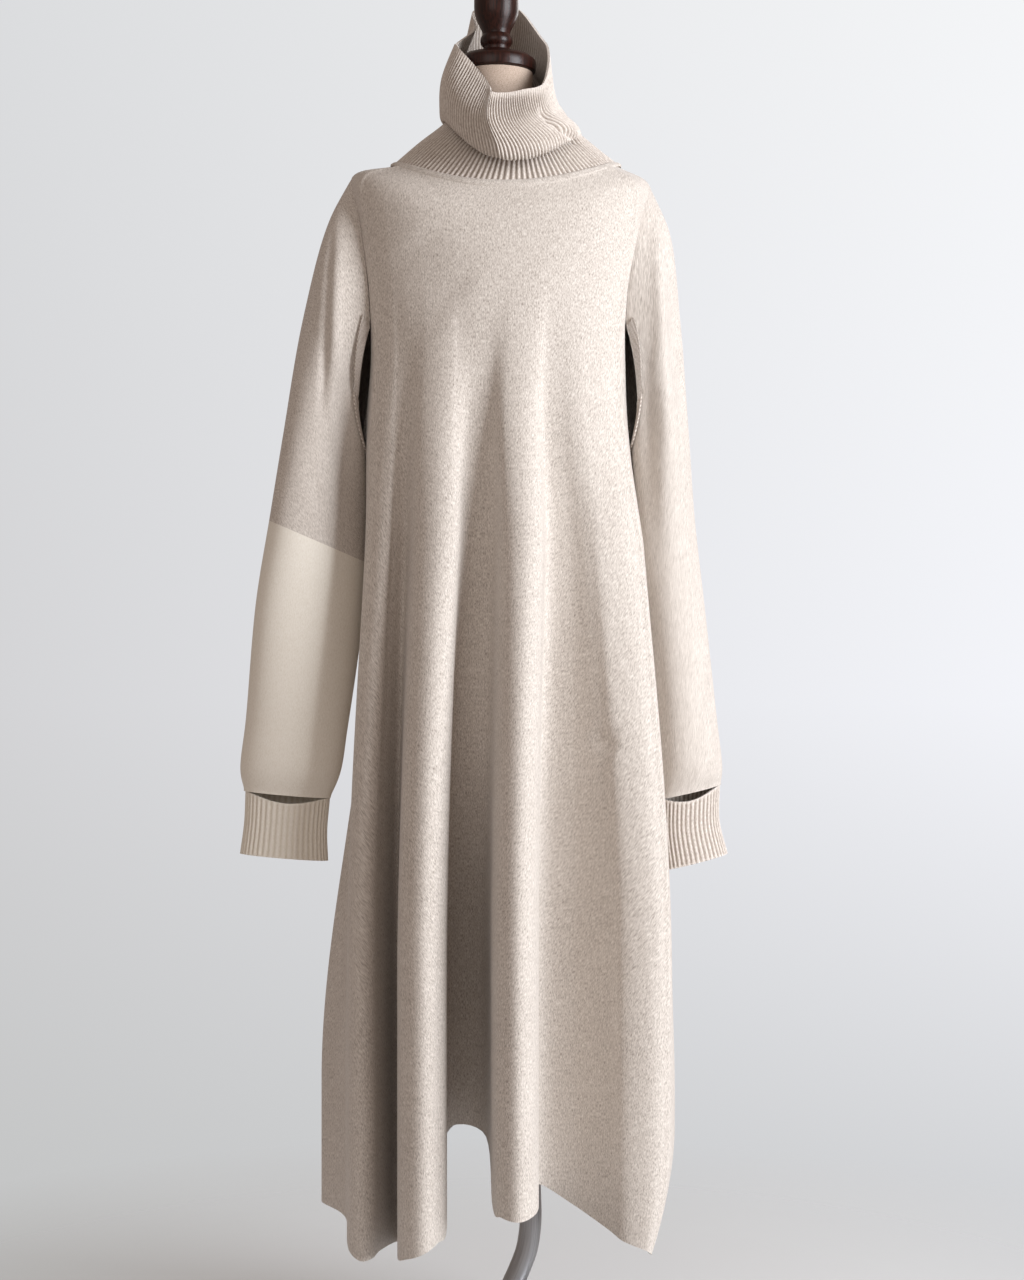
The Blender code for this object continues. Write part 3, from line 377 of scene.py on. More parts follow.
def fold_tracks():
    """Every track's chest angle, place and height at the hem, and the heights between which it moves."""
    rows = []
    for name, kind, schedule, x_chest, x_hem, y_hem, before, after, flank_y, *heights in FOLDS:
        z_before, z_hem, z_after = heights
        is_back = name.startswith(("back", "valley_fg", "valley_gh", "valley_hj"))
        towards = -1.0 if is_back else 1.0
        rest = (is_back, *SCHEDULES[schedule])
        crown = np.array([x_chest, x_hem, y_hem, z_hem])
        aside = towards * before
        first = np.array([x_chest - CHEST_FLANK * aside, x_hem - aside, flank_y, z_before])
        aside = towards * after
        last = np.array([x_chest + CHEST_FLANK * aside, x_hem + aside, flank_y, z_after])
        if kind == "trough":
            first = np.array([x_chest - CHEST_TROUGH * before, x_hem - before, y_hem, z_hem])
            last = np.array([x_chest + CHEST_TROUGH * after, x_hem + after, y_hem, z_hem])
            rows += [(*first, *rest), (*last, *rest)]
            continue
        if kind == "ridge":
            rows += [(*first, *rest), (*mix(crown, first, ROUNDING), *rest)]
        rows.append((*crown, *rest))
        if kind == "ridge":
            rows += [(*mix(crown, last, ROUNDING), *rest), (*last, *rest)]
    tracks = np.array(rows, float)
    x_right, x_left = BODY[-1][1:3]
    sine = np.clip((tracks[:, 0] - 0.5 * (x_right + x_left)) / (0.5 * (x_left - x_right)), -1, 1)
    angle = np.arcsin(np.sign(sine) * np.abs(sine) ** (SQUARENESS / 2.0))
    angle = np.where(tracks[:, 4] > 0, np.pi - angle, angle)
    return (angle, *tracks[:, [1, 2, 3, 5, 6, 7, 8]].T)


TRACKS = fold_tracks()
TRACK_COUNT = len(TRACKS[0])
TRACKS_OF = {"seam": 1, "valley": 1, "trough": 2, "ridge": 5}
FRONT_END = sum(TRACKS_OF[fold[1]] for fold in FOLDS[:[fold[0] for fold in FOLDS].index("side_left")])


def body_base(row, angle):
    """Points of the body before it is folded, at angles from the middle front."""
    level = through(range(len(BODY)), [line[1:] for line in BODY], [row])[0]
    x_right, x_left, y_front, y_back, z_right, z_left, z_front, z_back = level
    x, y = oval(x_right, x_left, y_front, y_back, angle, SQUARENESS)
    z_side = np.where(np.sin(angle) > 0, z_left, z_right)
    return x, y, mix(np.where(np.cos(angle) > 0, z_front, z_back), z_side, np.sin(angle) ** 2)


def body_tracks(row):
    """The tracks' points on the row's loop. Rows 0 to 6 follow BODY, and 6 to 10 run down to the hem."""
    angle, x_hem, y_hem, z_hem, start, full, side_start, side_full = TRACKS
    x, y, z = body_base(row, angle)
    z = mix(z, z_hem, np.clip((row - SKIRT_TOP) / (SKIRT_FOOT - SKIRT_TOP), 0, 1))
    x = mix(x, x_hem, smooth((side_start - z) / (side_start - side_full)))
    is_deep = (start == SCHEDULES["deep"][0]) | (start == SCHEDULES["flank"][0])
    inward = 1 - (1 - VALLEY_IN) * smooth((VALLEY_TOP - z) / (VALLEY_TOP - VALLEY_FULL))
    y = mix(y * np.where(is_deep, inward, 1.0), y_hem, smooth((start - z) / (start - full)))
    fall = np.clip((CORNER_TOP - z) / CORNER_FALL, 0, 1)
    x = x - CORNER_TUCK * np.clip((x_hem - CORNER_X) / CORNER_SPAN, 0, 1) * fall ** 2
    return np.stack([x, y, z], axis=1)


def armhole_row(degrees):
    """The body row that the armhole's edge crosses at this angle from the shoulder tip."""
    turned = np.minimum(degrees, 360 - degrees)
    return mix(ARMHOLE_TOP, ARMHOLE_FOOT, 0.5 - 0.5 * np.cos(np.radians(turned)))


def armhole_cut(row):
    """How many degrees the panels stop short of the side, on the rows that the armhole crosses."""
    share = np.clip((row - ARMHOLE_TOP) / (ARMHOLE_FOOT - ARMHOLE_TOP), 0, 1)
    return ARMHOLE_CUT * np.sin(np.pi * share) ** 0.6


def edge_place(points, first, last, degrees):
    """Where the loop between two of its tracks reaches this many degrees from the side that it starts at."""
    if degrees <= 0:
        return float(first)
    at = np.linspace(first, mix(first, last, 0.5), 160)
    curve = closed_through(points, at)
    centre = points.mean(axis=0)
    turned_by = np.degrees(np.arctan2(np.abs(curve[:, 1]), np.abs(curve[:, 0] - centre[0])))
    return float(np.interp(degrees, turned_by, at))


def panel_columns(points, first, last, count, degrees):
    """Track places of a panel's columns on a row, its outermost ones moved in at the armhole."""
    at = np.linspace(first, last, count)
    low = edge_place(points, first, last, degrees) - first
    end = len(points) - 1
    high = last - (end - edge_place(points[::-1], end - last, end - first, degrees))
    reach = EDGE_REACH * (last - first)
    at = at + low * np.clip(1 - (at - first) / reach, 0, 1) ** 2
    return at - high * np.clip(1 - (last - at) / reach, 0, 1) ** 2


def body_grid(rows, first, last, count):
    """Points of a panel from one track to another, on these rows."""
    grid = []
    for row in rows:
        points = body_tracks(row)
        grid.append(closed_through(points, panel_columns(points, first, last, count, armhole_cut(row))))
    return np.array(grid)


def body_rows(upper, skirt):
    """Rows from neck to hem, closer together where the armhole's edge crosses them."""
    above = np.linspace(0, ARMHOLE_TOP - 0.03, 22)
    below = np.linspace(ARMHOLE_FOOT + 0.05, SKIRT_TOP, 20)[:-1]
    return np.concatenate([above, armhole_row(np.linspace(0, 180, upper)), below,
                           np.linspace(SKIRT_TOP, SKIRT_FOOT, skirt)])


def armhole_loop(is_left, angles):
    """The armhole's edge: angle 0 at the shoulder tip, positive down its front edge, 180 at its foot."""
    loop = []
    for angle in angles:
        row = float(armhole_row(angle))
        points = body_tracks(row)
        on_front = angle <= 180
        first, last = (0, FRONT_END) if on_front else (FRONT_END, TRACK_COUNT)
        at = panel_columns(points, first, last, 3, armhole_cut(row))
        loop.append(closed_through(points, [at[-1] if on_front == is_left else at[0]])[0])
    return np.array(loop)


# ---- sleeves, cuffs, collar ----


def ring(line, angles):
    """A sleeve ring: angle 0 at its outer edge, positive round its front."""
    _, x_outer, z_outer, x_inner, z_inner, half_depth, behind, shift = line
    outer = np.array([x_outer, shift - 0.5 * behind, z_outer])
    inner = np.array([x_inner, shift + 0.5 * behind, z_inner])
    centre = 0.5 * (outer + inner)
    radians = np.radians(angles)[:, None]
    return centre + (outer - centre) * np.cos(radians) + np.array([0, -half_depth, 0]) * np.sin(radians)


def sleeve_grid(table, is_left, angles, shares):
    """Points of a sleeve, its rows at these shares of its length."""
    rings = np.array([armhole_loop(is_left, angles)] + [ring(line, angles) for line in table])
    keys = run(rings[:, 0])
    keys = keys / keys[-1]
    keys[1:-1] = mix(keys[1:-1], np.arange(1, len(keys) - 1) / (len(keys) - 1), 0.35)
    grid = through(keys, rings, shares)
    near = np.exp(-((angles - GROOVE_ANGLE) / GROOVE_SPREAD) ** 2)
    fade = smooth(shares / 0.12) * smooth((0.72 - shares) / 0.45)
    inward = unit(grid.mean(axis=1, keepdims=True) - grid)
    return grid + inward * (GROOVE_DEPTH * fade[:, None] * near[None, :])[:, :, None]


def vent_starts(angles):
    """The share of the length at which each column starts: the underarm hangs open below the armhole."""
    is_back = angles > 180
    edge = np.where(is_back, VENT_EDGE_BACK, VENT_EDGE)
    turned = np.where(is_back, 360 - angles, angles)
    return VENT_SHARE * np.sin(0.5 * np.pi * np.clip((turned - edge) / (180 - edge), 0, 1)) ** 0.75


def sampled(grid, shares):
    """Points of a grid with its rows at FINE, at each column's own shares."""
    out = np.empty((shares.shape[0], grid.shape[1], 3))
    for j in range(grid.shape[1]):
        for axis in range(3):
            out[:, j, axis] = np.interp(shares[:, j], FINE, grid[:, j, axis])
    return out


def collar_grid(places, angles):
    """Points of the collar: angle 0 in front, positive to the left."""
    values = through(range(len(COLLAR)), [line[1:] for line in COLLAR], places)
    radians = np.radians(angles)
    grid = []
    for x_right, z_right, x_left, z_left, y_front, z_front, y_back, z_back in values:
        x, y = oval(x_right, x_left, y_front, y_back, radians, COLLAR_SQUARENESS)
        z_side = np.where(radians > 0, z_left, z_right)
        z = mix(np.where(np.cos(radians) > 0, z_front, z_back), z_side, np.sin(radians) ** 2)
        grid.append(np.stack([x, y, z], axis=1))
    return np.array(grid)


# ---- meshes ----


def placed(name, data):
    """A new object with this data, in the scene."""
    obj = bpy.data.objects.new(name, data)
    SCENE.collection.objects.link(obj)
    return obj


def link(name, points, quads, uvs, groove):
    """An object from points, four-cornered faces, their metric map, and a groove weight or None; the weight
    places the painted shade in rib grooves.
    """
    mesh = bpy.data.meshes.new(name)
    a, b, c, d = (points[quads[:, k]] for k in range(4))
    volume = (np.cross(a, b) * c).sum() + (np.cross(a, c) * d).sum()
    if volume < 0:
        quads = quads[:, ::-1]
        uvs = uvs[:, ::-1]
    mesh.vertices.add(len(points))
    mesh.vertices.foreach_set("co", points.astype(np.float32).ravel())
    mesh.loops.add(quads.size)
    mesh.loops.foreach_set("vertex_index", quads.astype(np.int32).ravel())
    mesh.polygons.add(len(quads))
    mesh.polygons.foreach_set("loop_start", np.arange(0, quads.size, 4, dtype=np.int32))
    mesh.polygons.foreach_set("use_smooth", np.ones(len(quads), bool))
    mesh.update(calc_edges=True)
    layer = mesh.uv_layers.new(name="Cloth")
    layer.uv.foreach_set("vector", uvs.astype(np.float32).ravel())
    if groove is not None:
        made = mesh.attributes.new("groove", "FLOAT", "POINT")
        made.data.foreach_set("value", groove.astype(np.float32).ravel())
    mesh.validate()
    return placed(name, mesh)


def cells(grid):
    """The four corners of every cell of a grid."""
    corners = (grid[:-1, :-1], grid[1:, :-1], grid[1:, 1:], grid[:-1, 1:])
    return np.stack([corner.reshape(-1, *grid.shape[2:]) for corner in corners], axis=1)


def strip(first, second):
    """The four corners of every cell between two lines."""
    return np.stack([first[:-1], first[1:], second[1:], second[:-1]], axis=1)


def shell(name, outer, inner, closed, groove=None, angle=0.0, sharp=50):
    """A thin closed shell between two grids, mapped in metres and turned by an angle from its length."""
    rows, columns = outer.shape[:2]
    size = rows * columns
    index = np.arange(size).reshape(rows, columns)
    down = lengths_along(outer, 0)
    around = lengths_along(outer, 1)
    wide = around[rows // 2]
    if not closed:
        around = around - around[:, columns // 2:columns // 2 + 1]
        wide = around
    place = np.stack([np.broadcast_to(wide, (rows, columns)), down], axis=2)
    if closed:
        index = np.concatenate([index, index[:, :1]], axis=1)
        last = wide[-1] + np.linalg.norm(outer[rows // 2, 0] - outer[rows // 2, -1])
        edge = np.stack([np.full(rows, last), down[:, 0]], axis=1)[:, None]
        place = np.concatenate([place, edge], axis=1)
    cosine, sine = np.cos(np.radians(angle)), np.sin(np.radians(angle))
    place = place @ np.array([[cosine, sine], [-sine, cosine]])

    back = index + size
    quads = [cells(index), cells(back)[:, ::-1]]
    maps = [cells(place), cells(place)[:, ::-1]]
    step = np.array([0.0, CLOTH])
    edges = [(back[0], index[0], place[0] - step, place[0]),
             (index[-1], back[-1], place[-1], place[-1] + step)]
    if not closed:
        side = np.array([CLOTH, 0.0])
        edges += [(index[:, 0], back[:, 0], place[:, 0], place[:, 0] - side),
                  (back[:, -1], index[:, -1], place[:, -1] + side, place[:, -1])]
    for first, second, first_place, second_place in edges:
        quads.append(strip(first, second))
        maps.append(strip(first_place, second_place))
    both = np.concatenate([outer.reshape(-1, 3), inner.reshape(-1, 3)])
    if groove is not None:
        groove = np.concatenate([groove.ravel(), groove.ravel()])
    obj = link(name, both, np.concatenate(quads), np.concatenate(maps), groove)
    obj.data.set_sharp_from_angle(angle=np.radians(sharp))
    return obj


def creased(piece, grid, closed):
    """The grid with its piece's creases pressed in or drawn out, as soft troughs with faded ends."""
    for name, side, half_width, depth, line in CREASES:
        if name != piece:
            continue
        normal = normals_of(grid, closed)
        route = np.array(line)
        flat = grid[:, :, [0, 2]]
        best = np.full(grid.shape[:2], np.inf)
        along = np.zeros(grid.shape[:2])
        spans = np.linalg.norm(np.diff(route, axis=0), axis=1)
        for k, (start, end) in enumerate(zip(route, route[1:])):
            t = np.clip(((flat - start) @ (end - start)) / spans[k] ** 2, 0, 1)
            apart = np.linalg.norm(flat - start - t[:, :, None] * (end - start), axis=2)
            nearer = apart < best
            best = np.where(nearer, apart, best)
            along = np.where(nearer, (spans[:k].sum() + t * spans[k]) / spans.sum(), along)
        ends = smooth(along / 0.25) * smooth((1 - along) / 0.25)
        faces_it = smooth(side * normal[:, :, 1] / 0.4)
        press = depth * np.exp(-((best / half_width) ** 2)) * ends * faces_it
        grid = grid - normal * press[:, :, None]
    return grid


def rib_waves(columns, per_rib, rows):
    """Heights of ribs that run down a grid, from 0 in a groove to 1 on a crown."""
    wave = (0.5 + 0.5 * np.cos(2 * np.pi * np.arange(columns) / per_rib)) ** 0.75
    return wave[None, :] * np.ones((rows, 1))


def make_body(name, first, last, columns, rows):
    """The front or back panel, between two tracks."""
    grid = creased("body", body_grid(rows, first, last, columns), False)
    inner = grid - normals_of(grid, False) * CLOTH
    return shell(name, grid, inner, False)


def make_sleeve(name, piece, table, is_left, first, last, rows, columns, angle):
    """A sleeve between two shares of its length, its knit turned by an angle."""
    angles = turn(columns)
    grid = creased(piece, sleeve_grid(table, is_left, angles, FINE), True)
    normal = normals_of(grid, True)
    tuck = SEAM_TUCK * np.exp(-((FINE / 0.006) ** 2)) - END_LIP * np.exp(-(((1 - FINE) / 0.005) ** 2))
    grid = grid - normal * tuck[:, None, None]
    starts = vent_starts(angles) if first == 0 else np.full(columns, first)
    shares = starts + (last - starts) * np.linspace(0, 1, rows)[:, None]
    outer = sampled(grid, shares)
    inner = outer - unit(sampled(normal, shares)) * CLOTH
    return shell(name, outer, inner, True, angle=angle)


def make_cuff(name, table, ribs, per_rib, rows):
    columns = ribs * per_rib
    angles = turn(columns)
    share = np.linspace(0, 1, rows)
    grid = through(np.linspace(0, 1, len(table)), np.array([ring(line, angles) for line in table]), share)
    front = np.clip(1 - np.abs(angles - 90) / SLIT_EDGE, 0, 1)
    grid[:, :, 2] -= SLIT_DROP * smooth(front)[None, :] * ((1 - share) ** 2)[:, None]
    normal = normals_of(grid, True)
    wave = rib_waves(columns, per_rib, rows)
    ends = (smooth(share / 0.06) * smooth((1 - share) / 0.03))[:, None]
    outer = grid - normal * (CUFF_RIBS * (1 - wave) * ends)[:, :, None]
    inner = grid - normal * (RIB - 0.0004 * wave * ends)[:, :, None]
    return shell(name, outer, inner, True, groove=(1 - wave) * ends, sharp=70)


def make_band(name, table, is_left, ribs, per_rib):
    """The rib strip along the vent's front edge, laid out square to it: its ribs run across it."""
    coarse = np.linspace(*BAND_ANGLES, 300)
    edge = np.stack([np.radians(coarse) * BAND_AROUND, vent_starts(coarse) * BAND_ALONG], axis=1)
    lengths = run(edge)
    even = np.linspace(0, lengths[-1], ribs * per_rib + 1)
    path = np.stack([np.interp(even, lengths, edge[:, 0]), np.interp(even, lengths, edge[:, 1])], axis=1)
    step = unit(np.gradient(path, axis=0))
    away = np.stack([-step[:, 1], step[:, 0]], axis=1)
    share = even / even[-1]
    width = BAND_WIDTH * (0.15 + 0.85 * smooth(share / 0.10) * smooth((1 - share) / 0.25))
    rows = []
    for part in np.linspace(0, 1, 9):
        place = path + away * (BAND_GAP + part * width)[:, None]
        grid = sleeve_grid(table, is_left, np.degrees(place[:, 0] / BAND_AROUND), FINE)
        rows.append(sampled(grid, np.maximum(place[:, 1] / BAND_ALONG, 0.002)[None, :])[0])
    cloth = np.array(rows)
    normal = unit(np.cross(np.gradient(cloth, axis=0), np.gradient(cloth, axis=1)))
    if normal[:, :, 1].mean() > 0:
        normal = -normal
    wave = rib_waves(len(even), per_rib, len(rows))
    over = cloth + normal * (BAND_TOP + BAND_RIBS * wave)[:, :, None]
    return shell(name, over, cloth + normal * BAND_LIFT, False, groove=1 - wave, sharp=70)


def make_collar(name, ribs, per_rib):
    """The slumped rib funnel, from the neck seam over its front roll to its uneven rim."""
    columns = ribs * per_rib
    angles = turn(columns) - 180.0
    places = np.concatenate([np.linspace(0, 3, 17)[:-1], np.linspace(3, 6, 21)[:-1], np.linspace(6, 8, 20)])
    grid = collar_grid(places, angles)
    edge = np.array(RIM_EDGE)
    keys = np.concatenate([edge[:, 0], [180]])
    wanted = through(keys, np.concatenate([edge[:, 1:], edge[:1, 1:]]), angles)
    reach = smooth((places - ROLL_RING) / (len(COLLAR) - 1 - ROLL_RING))
    grid = grid + reach[:, None, None] * (wanted - grid[-1])[None]
    corner = np.exp(-np.abs(angles - CORNER_ANGLE) / CORNER_FADE)
    rise = smooth((places - 4.0) / 1.2) * smooth((8.6 - places) / 1.4)
    grid[:, :, 1] -= CORNER_OUT * rise[:, None] * corner[None, :]
    grid = creased("collar", grid, True)
    normal = normals_of(grid, True)
    wave = rib_waves(columns, per_rib, len(places))
    ends = smooth((8 - places) / 0.25)[:, None]
    outer = grid - normal * (COLLAR_RIBS * (1 - wave) * ends)[:, :, None]
    inner = grid - normal * (RIB - 0.0003 * wave)[:, :, None]
    return shell(name, outer, inner, True, groove=(1 - wave) * ends, sharp=75)


def make_neck_trim(name, columns):
    """The raised band over the neck seam, its lower edge drawn in where the shoulders fall away."""
    angles = turn(columns) - 180.0
    above = collar_grid([TRIM_ABOVE], angles)[0]
    seam = collar_grid([0.0], angles)[0]
    below = np.stack(body_base(TRIM_BELOW, np.radians(angles)), axis=1)
    tangent = np.roll(seam, -1, axis=0) - np.roll(seam, 1, axis=0)
    out = unit(unit(np.cross(tangent, seam - below)) + unit(np.cross(tangent, above - seam)))
    shares = np.linspace(-1, 1, 9)
    up = unit(above - seam) * TRIM_REACH
    narrow = 1 - 0.75 * np.abs(np.sin(np.radians(angles))) ** 10
    down = unit(below - seam) * TRIM_REACH * narrow[:, None]
    rows = np.array([seam + (up if s > 0 else down) * abs(s) for s in shares])
    under = rows - out * TRIM_LIFT
    thick = TRIM_LIFT + TRIM_RISE * (1 - np.abs(shares) ** 2.5)
    return shell(name, (under + out * thick[:, None, None])[::-1], under[::-1], True)


# ---- the form and stand ----


def capped(name, grid):
    """A solid from closed rings, the first at the bottom, drawn to a point at the middle of each end."""
    rings, count = grid.shape[:2]
    foot, top = grid[0].mean(axis=0), grid[-1].mean(axis=0)
    rows = np.concatenate([np.broadcast_to(foot, (1, count, 3)), grid, np.broadcast_to(top, (1, count, 3))])
    index = np.arange(rings * count).reshape(rings, count) + 1
    index = np.concatenate([np.zeros((1, count), int), index, np.full((1, count), rings * count + 1)])
    index = np.concatenate([index, index[:, :1]], axis=1)
    around = lengths_along(grid, 1).max(axis=1).max()
    down = run(rows[:, 0])
    place = np.stack(np.meshgrid(np.linspace(0, around, count + 1), down), axis=2)
    mesh = bpy.data.meshes.new(name)
    faces = []
    maps = []
    for i in range(rings + 1):
        for j in range(count):
            corners = [(i, j), (i, j + 1), (i + 1, j + 1), (i + 1, j)]
            if i == 0:
                corners.pop(1)
            elif i == rings:
                corners.pop(2)
            faces.append([int(index[c]) for c in corners])
            maps += [place[c] for c in corners]
    mesh.from_pydata([foot, *grid.reshape(-1, 3), top], [], faces)
    layer = mesh.uv_layers.new(name="Cloth")
    layer.uv.foreach_set("vector", np.array(maps, np.float32).ravel())
    mesh.polygons.foreach_set("use_smooth", np.ones(len(faces), bool))
    mesh.set_sharp_from_angle(angle=np.radians(35))
    return placed(name, mesh)


def turned(name, profile, segments, x):
    """A turned solid from a profile, on an upright axis at x."""
    angle = turn(segments, 2 * np.pi)
    rings = []
    for radius, height in profile[1:-1]:
        flat = np.full(segments, height)
        rings.append(np.stack([x + radius * np.cos(angle), radius * np.sin(angle), flat], axis=1))
    return capped(name, np.array(rings))


def make_torso(name):
    heights = np.concatenate([np.linspace(0.7003, 1.26, 44), np.linspace(1.264, 1.4200, 44)])
    values = through([line[1] for line in TORSO], [line[2:] for line in TORSO], heights)
    angle = turn(112, 2 * np.pi)
    grid = []
    for height, (half, front, back) in zip(heights, values):
        x, y = oval(-half, half, -front, back, angle, 2.0 + 0.25 * smooth((half - 0.05) / 0.04))
        grid.append(np.stack([x + FORM_X, y, np.full(len(angle), height)], axis=1))
    return capped(name, np.array(grid))


def make_pole(name):
    route = np.array([(x, 0.0, z) for x, z in POLE])
    lengths = run(route)
    points = through(lengths, route, np.linspace(0, lengths[-1], 140))
    depth = np.array([0.0, 1.0, 0.0])
    across = unit(np.cross(unit(np.gradient(points, axis=0)), depth))
    angle = turn(40, 2 * np.pi)
    circle = across[:, None] * np.cos(angle)[None, :, None] + depth * np.sin(angle)[None, :, None]
    return capped(name, points[:, None] + POLE_RADIUS * circle)


# ---- materials ----


class Nodes:
    """Short calls for the node tree of a new material, or of a world that is handed in."""

    def __init__(self, name, made=None):
        self.made = made or bpy.data.materials.new(name)
        self.made.use_nodes = True
        self.tree = self.made.node_tree
        self.shader = self.tree.nodes.get("Principled BSDF")

    def add(self, kind, **settings):
        node = self.tree.nodes.new(kind)
        inputs = settings.pop("inputs", {})
        for key, value in settings.items():
            setattr(node, key, value)
        for key, value in inputs.items():
            self.put(node.inputs[key], value)
        return node

    def put(self, socket, value):
        if isinstance(value, bpy.types.NodeSocket):
            self.tree.links.new(value, socket)
        else:
            socket.default_value = value

    def scaled(self, place, by):
        return self.add("ShaderNodeVectorMath", operation="MULTIPLY", inputs={0: place, 1: by}).outputs[0]

    def cloth(self, across, along):
        """The metric map, scaled by how many of a thing there are in a metre across and along."""
        return self.scaled(self.add("ShaderNodeUVMap", uv_map="Cloth").outputs["UV"], (across, along, 1))

    def noise(self, vector, detail=2.0, rough=0.5, distort=0.0):
        return self.add("ShaderNodeTexNoise", inputs={
            "Vector": vector, "Scale": 1.0, "Detail": detail, "Roughness": rough, "Distortion": distort,
        }).outputs["Fac"]

    def ramp(self, value, *stops):
        node = self.add("ShaderNodeValToRGB", inputs={"Fac": value})
        marks = node.color_ramp.elements
        while len(marks) < len(stops):
            marks.new(0.5)
        for mark, (at, colour) in zip(marks, stops):
            mark.position = at
            mark.color = (*colour, 1.0) if isinstance(colour, tuple) else (colour, colour, colour, 1.0)
        return node.outputs["Color"]

    def math(self, operation, first, second=0.0, clamp=False):
        return self.add("ShaderNodeMath", operation=operation, use_clamp=clamp,
                        inputs={0: first, 1: second}).outputs[0]

    def blend(self, share, first, second, kind="MIX"):
        node = self.add("ShaderNodeMix", data_type="RGBA", blend_type=kind)
        self.put(node.inputs[0], share)
        for socket, value in ((node.inputs[6], first), (node.inputs[7], second)):
            self.put(socket, (*value, 1.0) if isinstance(value, tuple) else value)
        return node.outputs[2]

    def bump(self, height, distance, strength=1.0):
        inputs = {"Height": height, "Distance": distance, "Strength": strength}
        self.put(self.shader.inputs["Normal"], self.add("ShaderNodeBump", inputs=inputs).outputs["Normal"])

    def set(self, **values):
        for key, value in values.items():
            self.put(self.shader.inputs[key.replace("_", " ")], value)
        return self.made


def stitches(nodes, wales, courses):
    """Height of small knit stitches, as V shapes in upright wales."""
    place = nodes.cloth(wales, courses)
    parts = nodes.add("ShaderNodeSeparateXYZ", inputs={0: place})
    across = nodes.math("FRACT", parts.outputs["X"])
    slant = nodes.math("ABSOLUTE", nodes.math("SUBTRACT", across, 0.5))
    lean = nodes.math("ADD", parts.outputs["Y"], nodes.math("MULTIPLY", slant, 0.9))
    row = nodes.math("SINE", nodes.math("MULTIPLY", lean, 2 * np.pi))
    wale = nodes.math("SINE", nodes.math("MULTIPLY", across, np.pi))
    return nodes.math("ADD", nodes.math("MULTIPLY", row, 0.25), nodes.math("MULTIPLY", wale, 0.75))


def knit(name, dark, middle, light, contrast, groove_painted_shade=0.0):
    """Marled yarn: short fibres of dark and light along the wales, with slow mottling and fuzz, and for ribs
    a painted shade that darkens the grooves.
    """
    nodes = Nodes(name)
    fibre = nodes.noise(nodes.cloth(1250, 330), 2.0, 0.55)
    streak = nodes.noise(nodes.cloth(520, 110), 1.0)
    cloud = nodes.noise(nodes.cloth(26, 13))
    mixed = nodes.math("ADD", nodes.math("MULTIPLY", fibre, 0.74), nodes.math("MULTIPLY", streak, 0.26))
    mixed = nodes.math("ADD", mixed, nodes.math("MULTIPLY", nodes.math("SUBTRACT", cloud, 0.5), 0.07))
    spread = 0.5 * contrast
    colour = nodes.ramp(mixed, (0.5 - spread, dark), (0.5, middle), (0.5 + spread, light))
    height = nodes.math("ADD", nodes.math("MULTIPLY", stitches(nodes, 520, 620), 0.5), fibre)
    # Painted shade: the grooves between the ribs are darkened towards the dark yarn colour.
    if groove_painted_shade:
        groove = nodes.add("ShaderNodeAttribute", attribute_name="groove").outputs["Fac"]
        colour = nodes.blend(nodes.math("MULTIPLY", groove, groove_painted_shade), colour, dark, "MULTIPLY")
    nodes.bump(height, 0.0003, 0.35)
    return nodes.set(Base_Color=colour, Roughness=0.92, Sheen_Weight=0.25, Sheen_Roughness=0.5,
                     Specular_IOR_Level=0.15)


def linen():
    """Plain weave, as two crossed noises."""
    nodes = Nodes("linen")
    weft, warp = nodes.noise(nodes.cloth(260, 1500)), nodes.noise(nodes.cloth(1500, 260))
    weave = nodes.math("ADD", nodes.math("MULTIPLY", weft, 0.5), nodes.math("MULTIPLY", warp, 0.5))
    colour = nodes.ramp(weave, (0.36, (0.34, 0.25, 0.19)), (0.62, (0.62, 0.50, 0.41)))
    nodes.bump(weave, 0.0004, 0.7)
    return nodes.set(Base_Color=colour, Roughness=0.85, Sheen_Weight=0.1)


def wood():
    nodes = Nodes("dark_wood")
    place = nodes.add("ShaderNodeTexCoord").outputs["Object"]
    lines = nodes.noise(nodes.scaled(place, (420, 420, 40)), 4.0, 0.6, 0.6)
    colour = nodes.ramp(lines, (0.35, (0.006, 0.0014, 0.0009)), (0.7, (0.038, 0.008, 0.004)))
    rough = nodes.ramp(lines, (0.3, 0.28), (0.8, 0.44))
    nodes.bump(lines, 0.00025, 0.5)
    return nodes.set(Base_Color=colour, Roughness=rough, Specular_IOR_Level=0.3, Coat_Weight=0.04)


def steel():
    nodes = Nodes("satin_steel")
    brushed = nodes.noise(nodes.cloth(900, 22), 3.0, 0.6)
    colour = nodes.ramp(brushed, (0.3, (0.30, 0.30, 0.31)), (0.7, (0.46, 0.46, 0.47)))
    rough = nodes.ramp(brushed, (0.3, 0.30), (0.7, 0.46))
    nodes.bump(brushed, 0.0001, 0.3)
    return nodes.set(Base_Color=colour, Roughness=rough, Metallic=1.0)


# ---- building ----


HEATHER = ((0.275, 0.234, 0.203), (0.585, 0.532, 0.482), (0.80, 0.755, 0.70))
HEATHER_RIB = ((0.38, 0.325, 0.285), (0.67, 0.61, 0.555), (0.86, 0.82, 0.77))
CREAM = ((0.69, 0.635, 0.545), (0.80, 0.755, 0.675), (0.87, 0.835, 0.77))
LOOKS = {
    "heather_knit": knit("heather_knit", *HEATHER, 0.42),
    # The last number of a rib look is how strongly the painted shade darkens its grooves.
    "heather_rib": knit("heather_rib", *HEATHER_RIB, 0.46, 0.85),
    "cream_knit": knit("cream_knit", *CREAM, 0.6),
    "cream_rib": knit("cream_rib", *CREAM, 0.6, 0.42),
    "linen": linen(),
    "dark_wood": wood(),
    "satin_steel": steel(),
}


def finished(obj, slot):
    """Gives an object the look kept under this name, as its only material."""
    obj.data.materials.clear()
    obj.data.materials.append(LOOKS[slot])


def dress(obj, slot, *nodes):
    """Fixes a piece to the body, hides the CAD nodes that it takes the place of, and finishes it."""
    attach(obj, "root")
    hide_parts(*nodes)
    finished(obj, slot)
    return obj


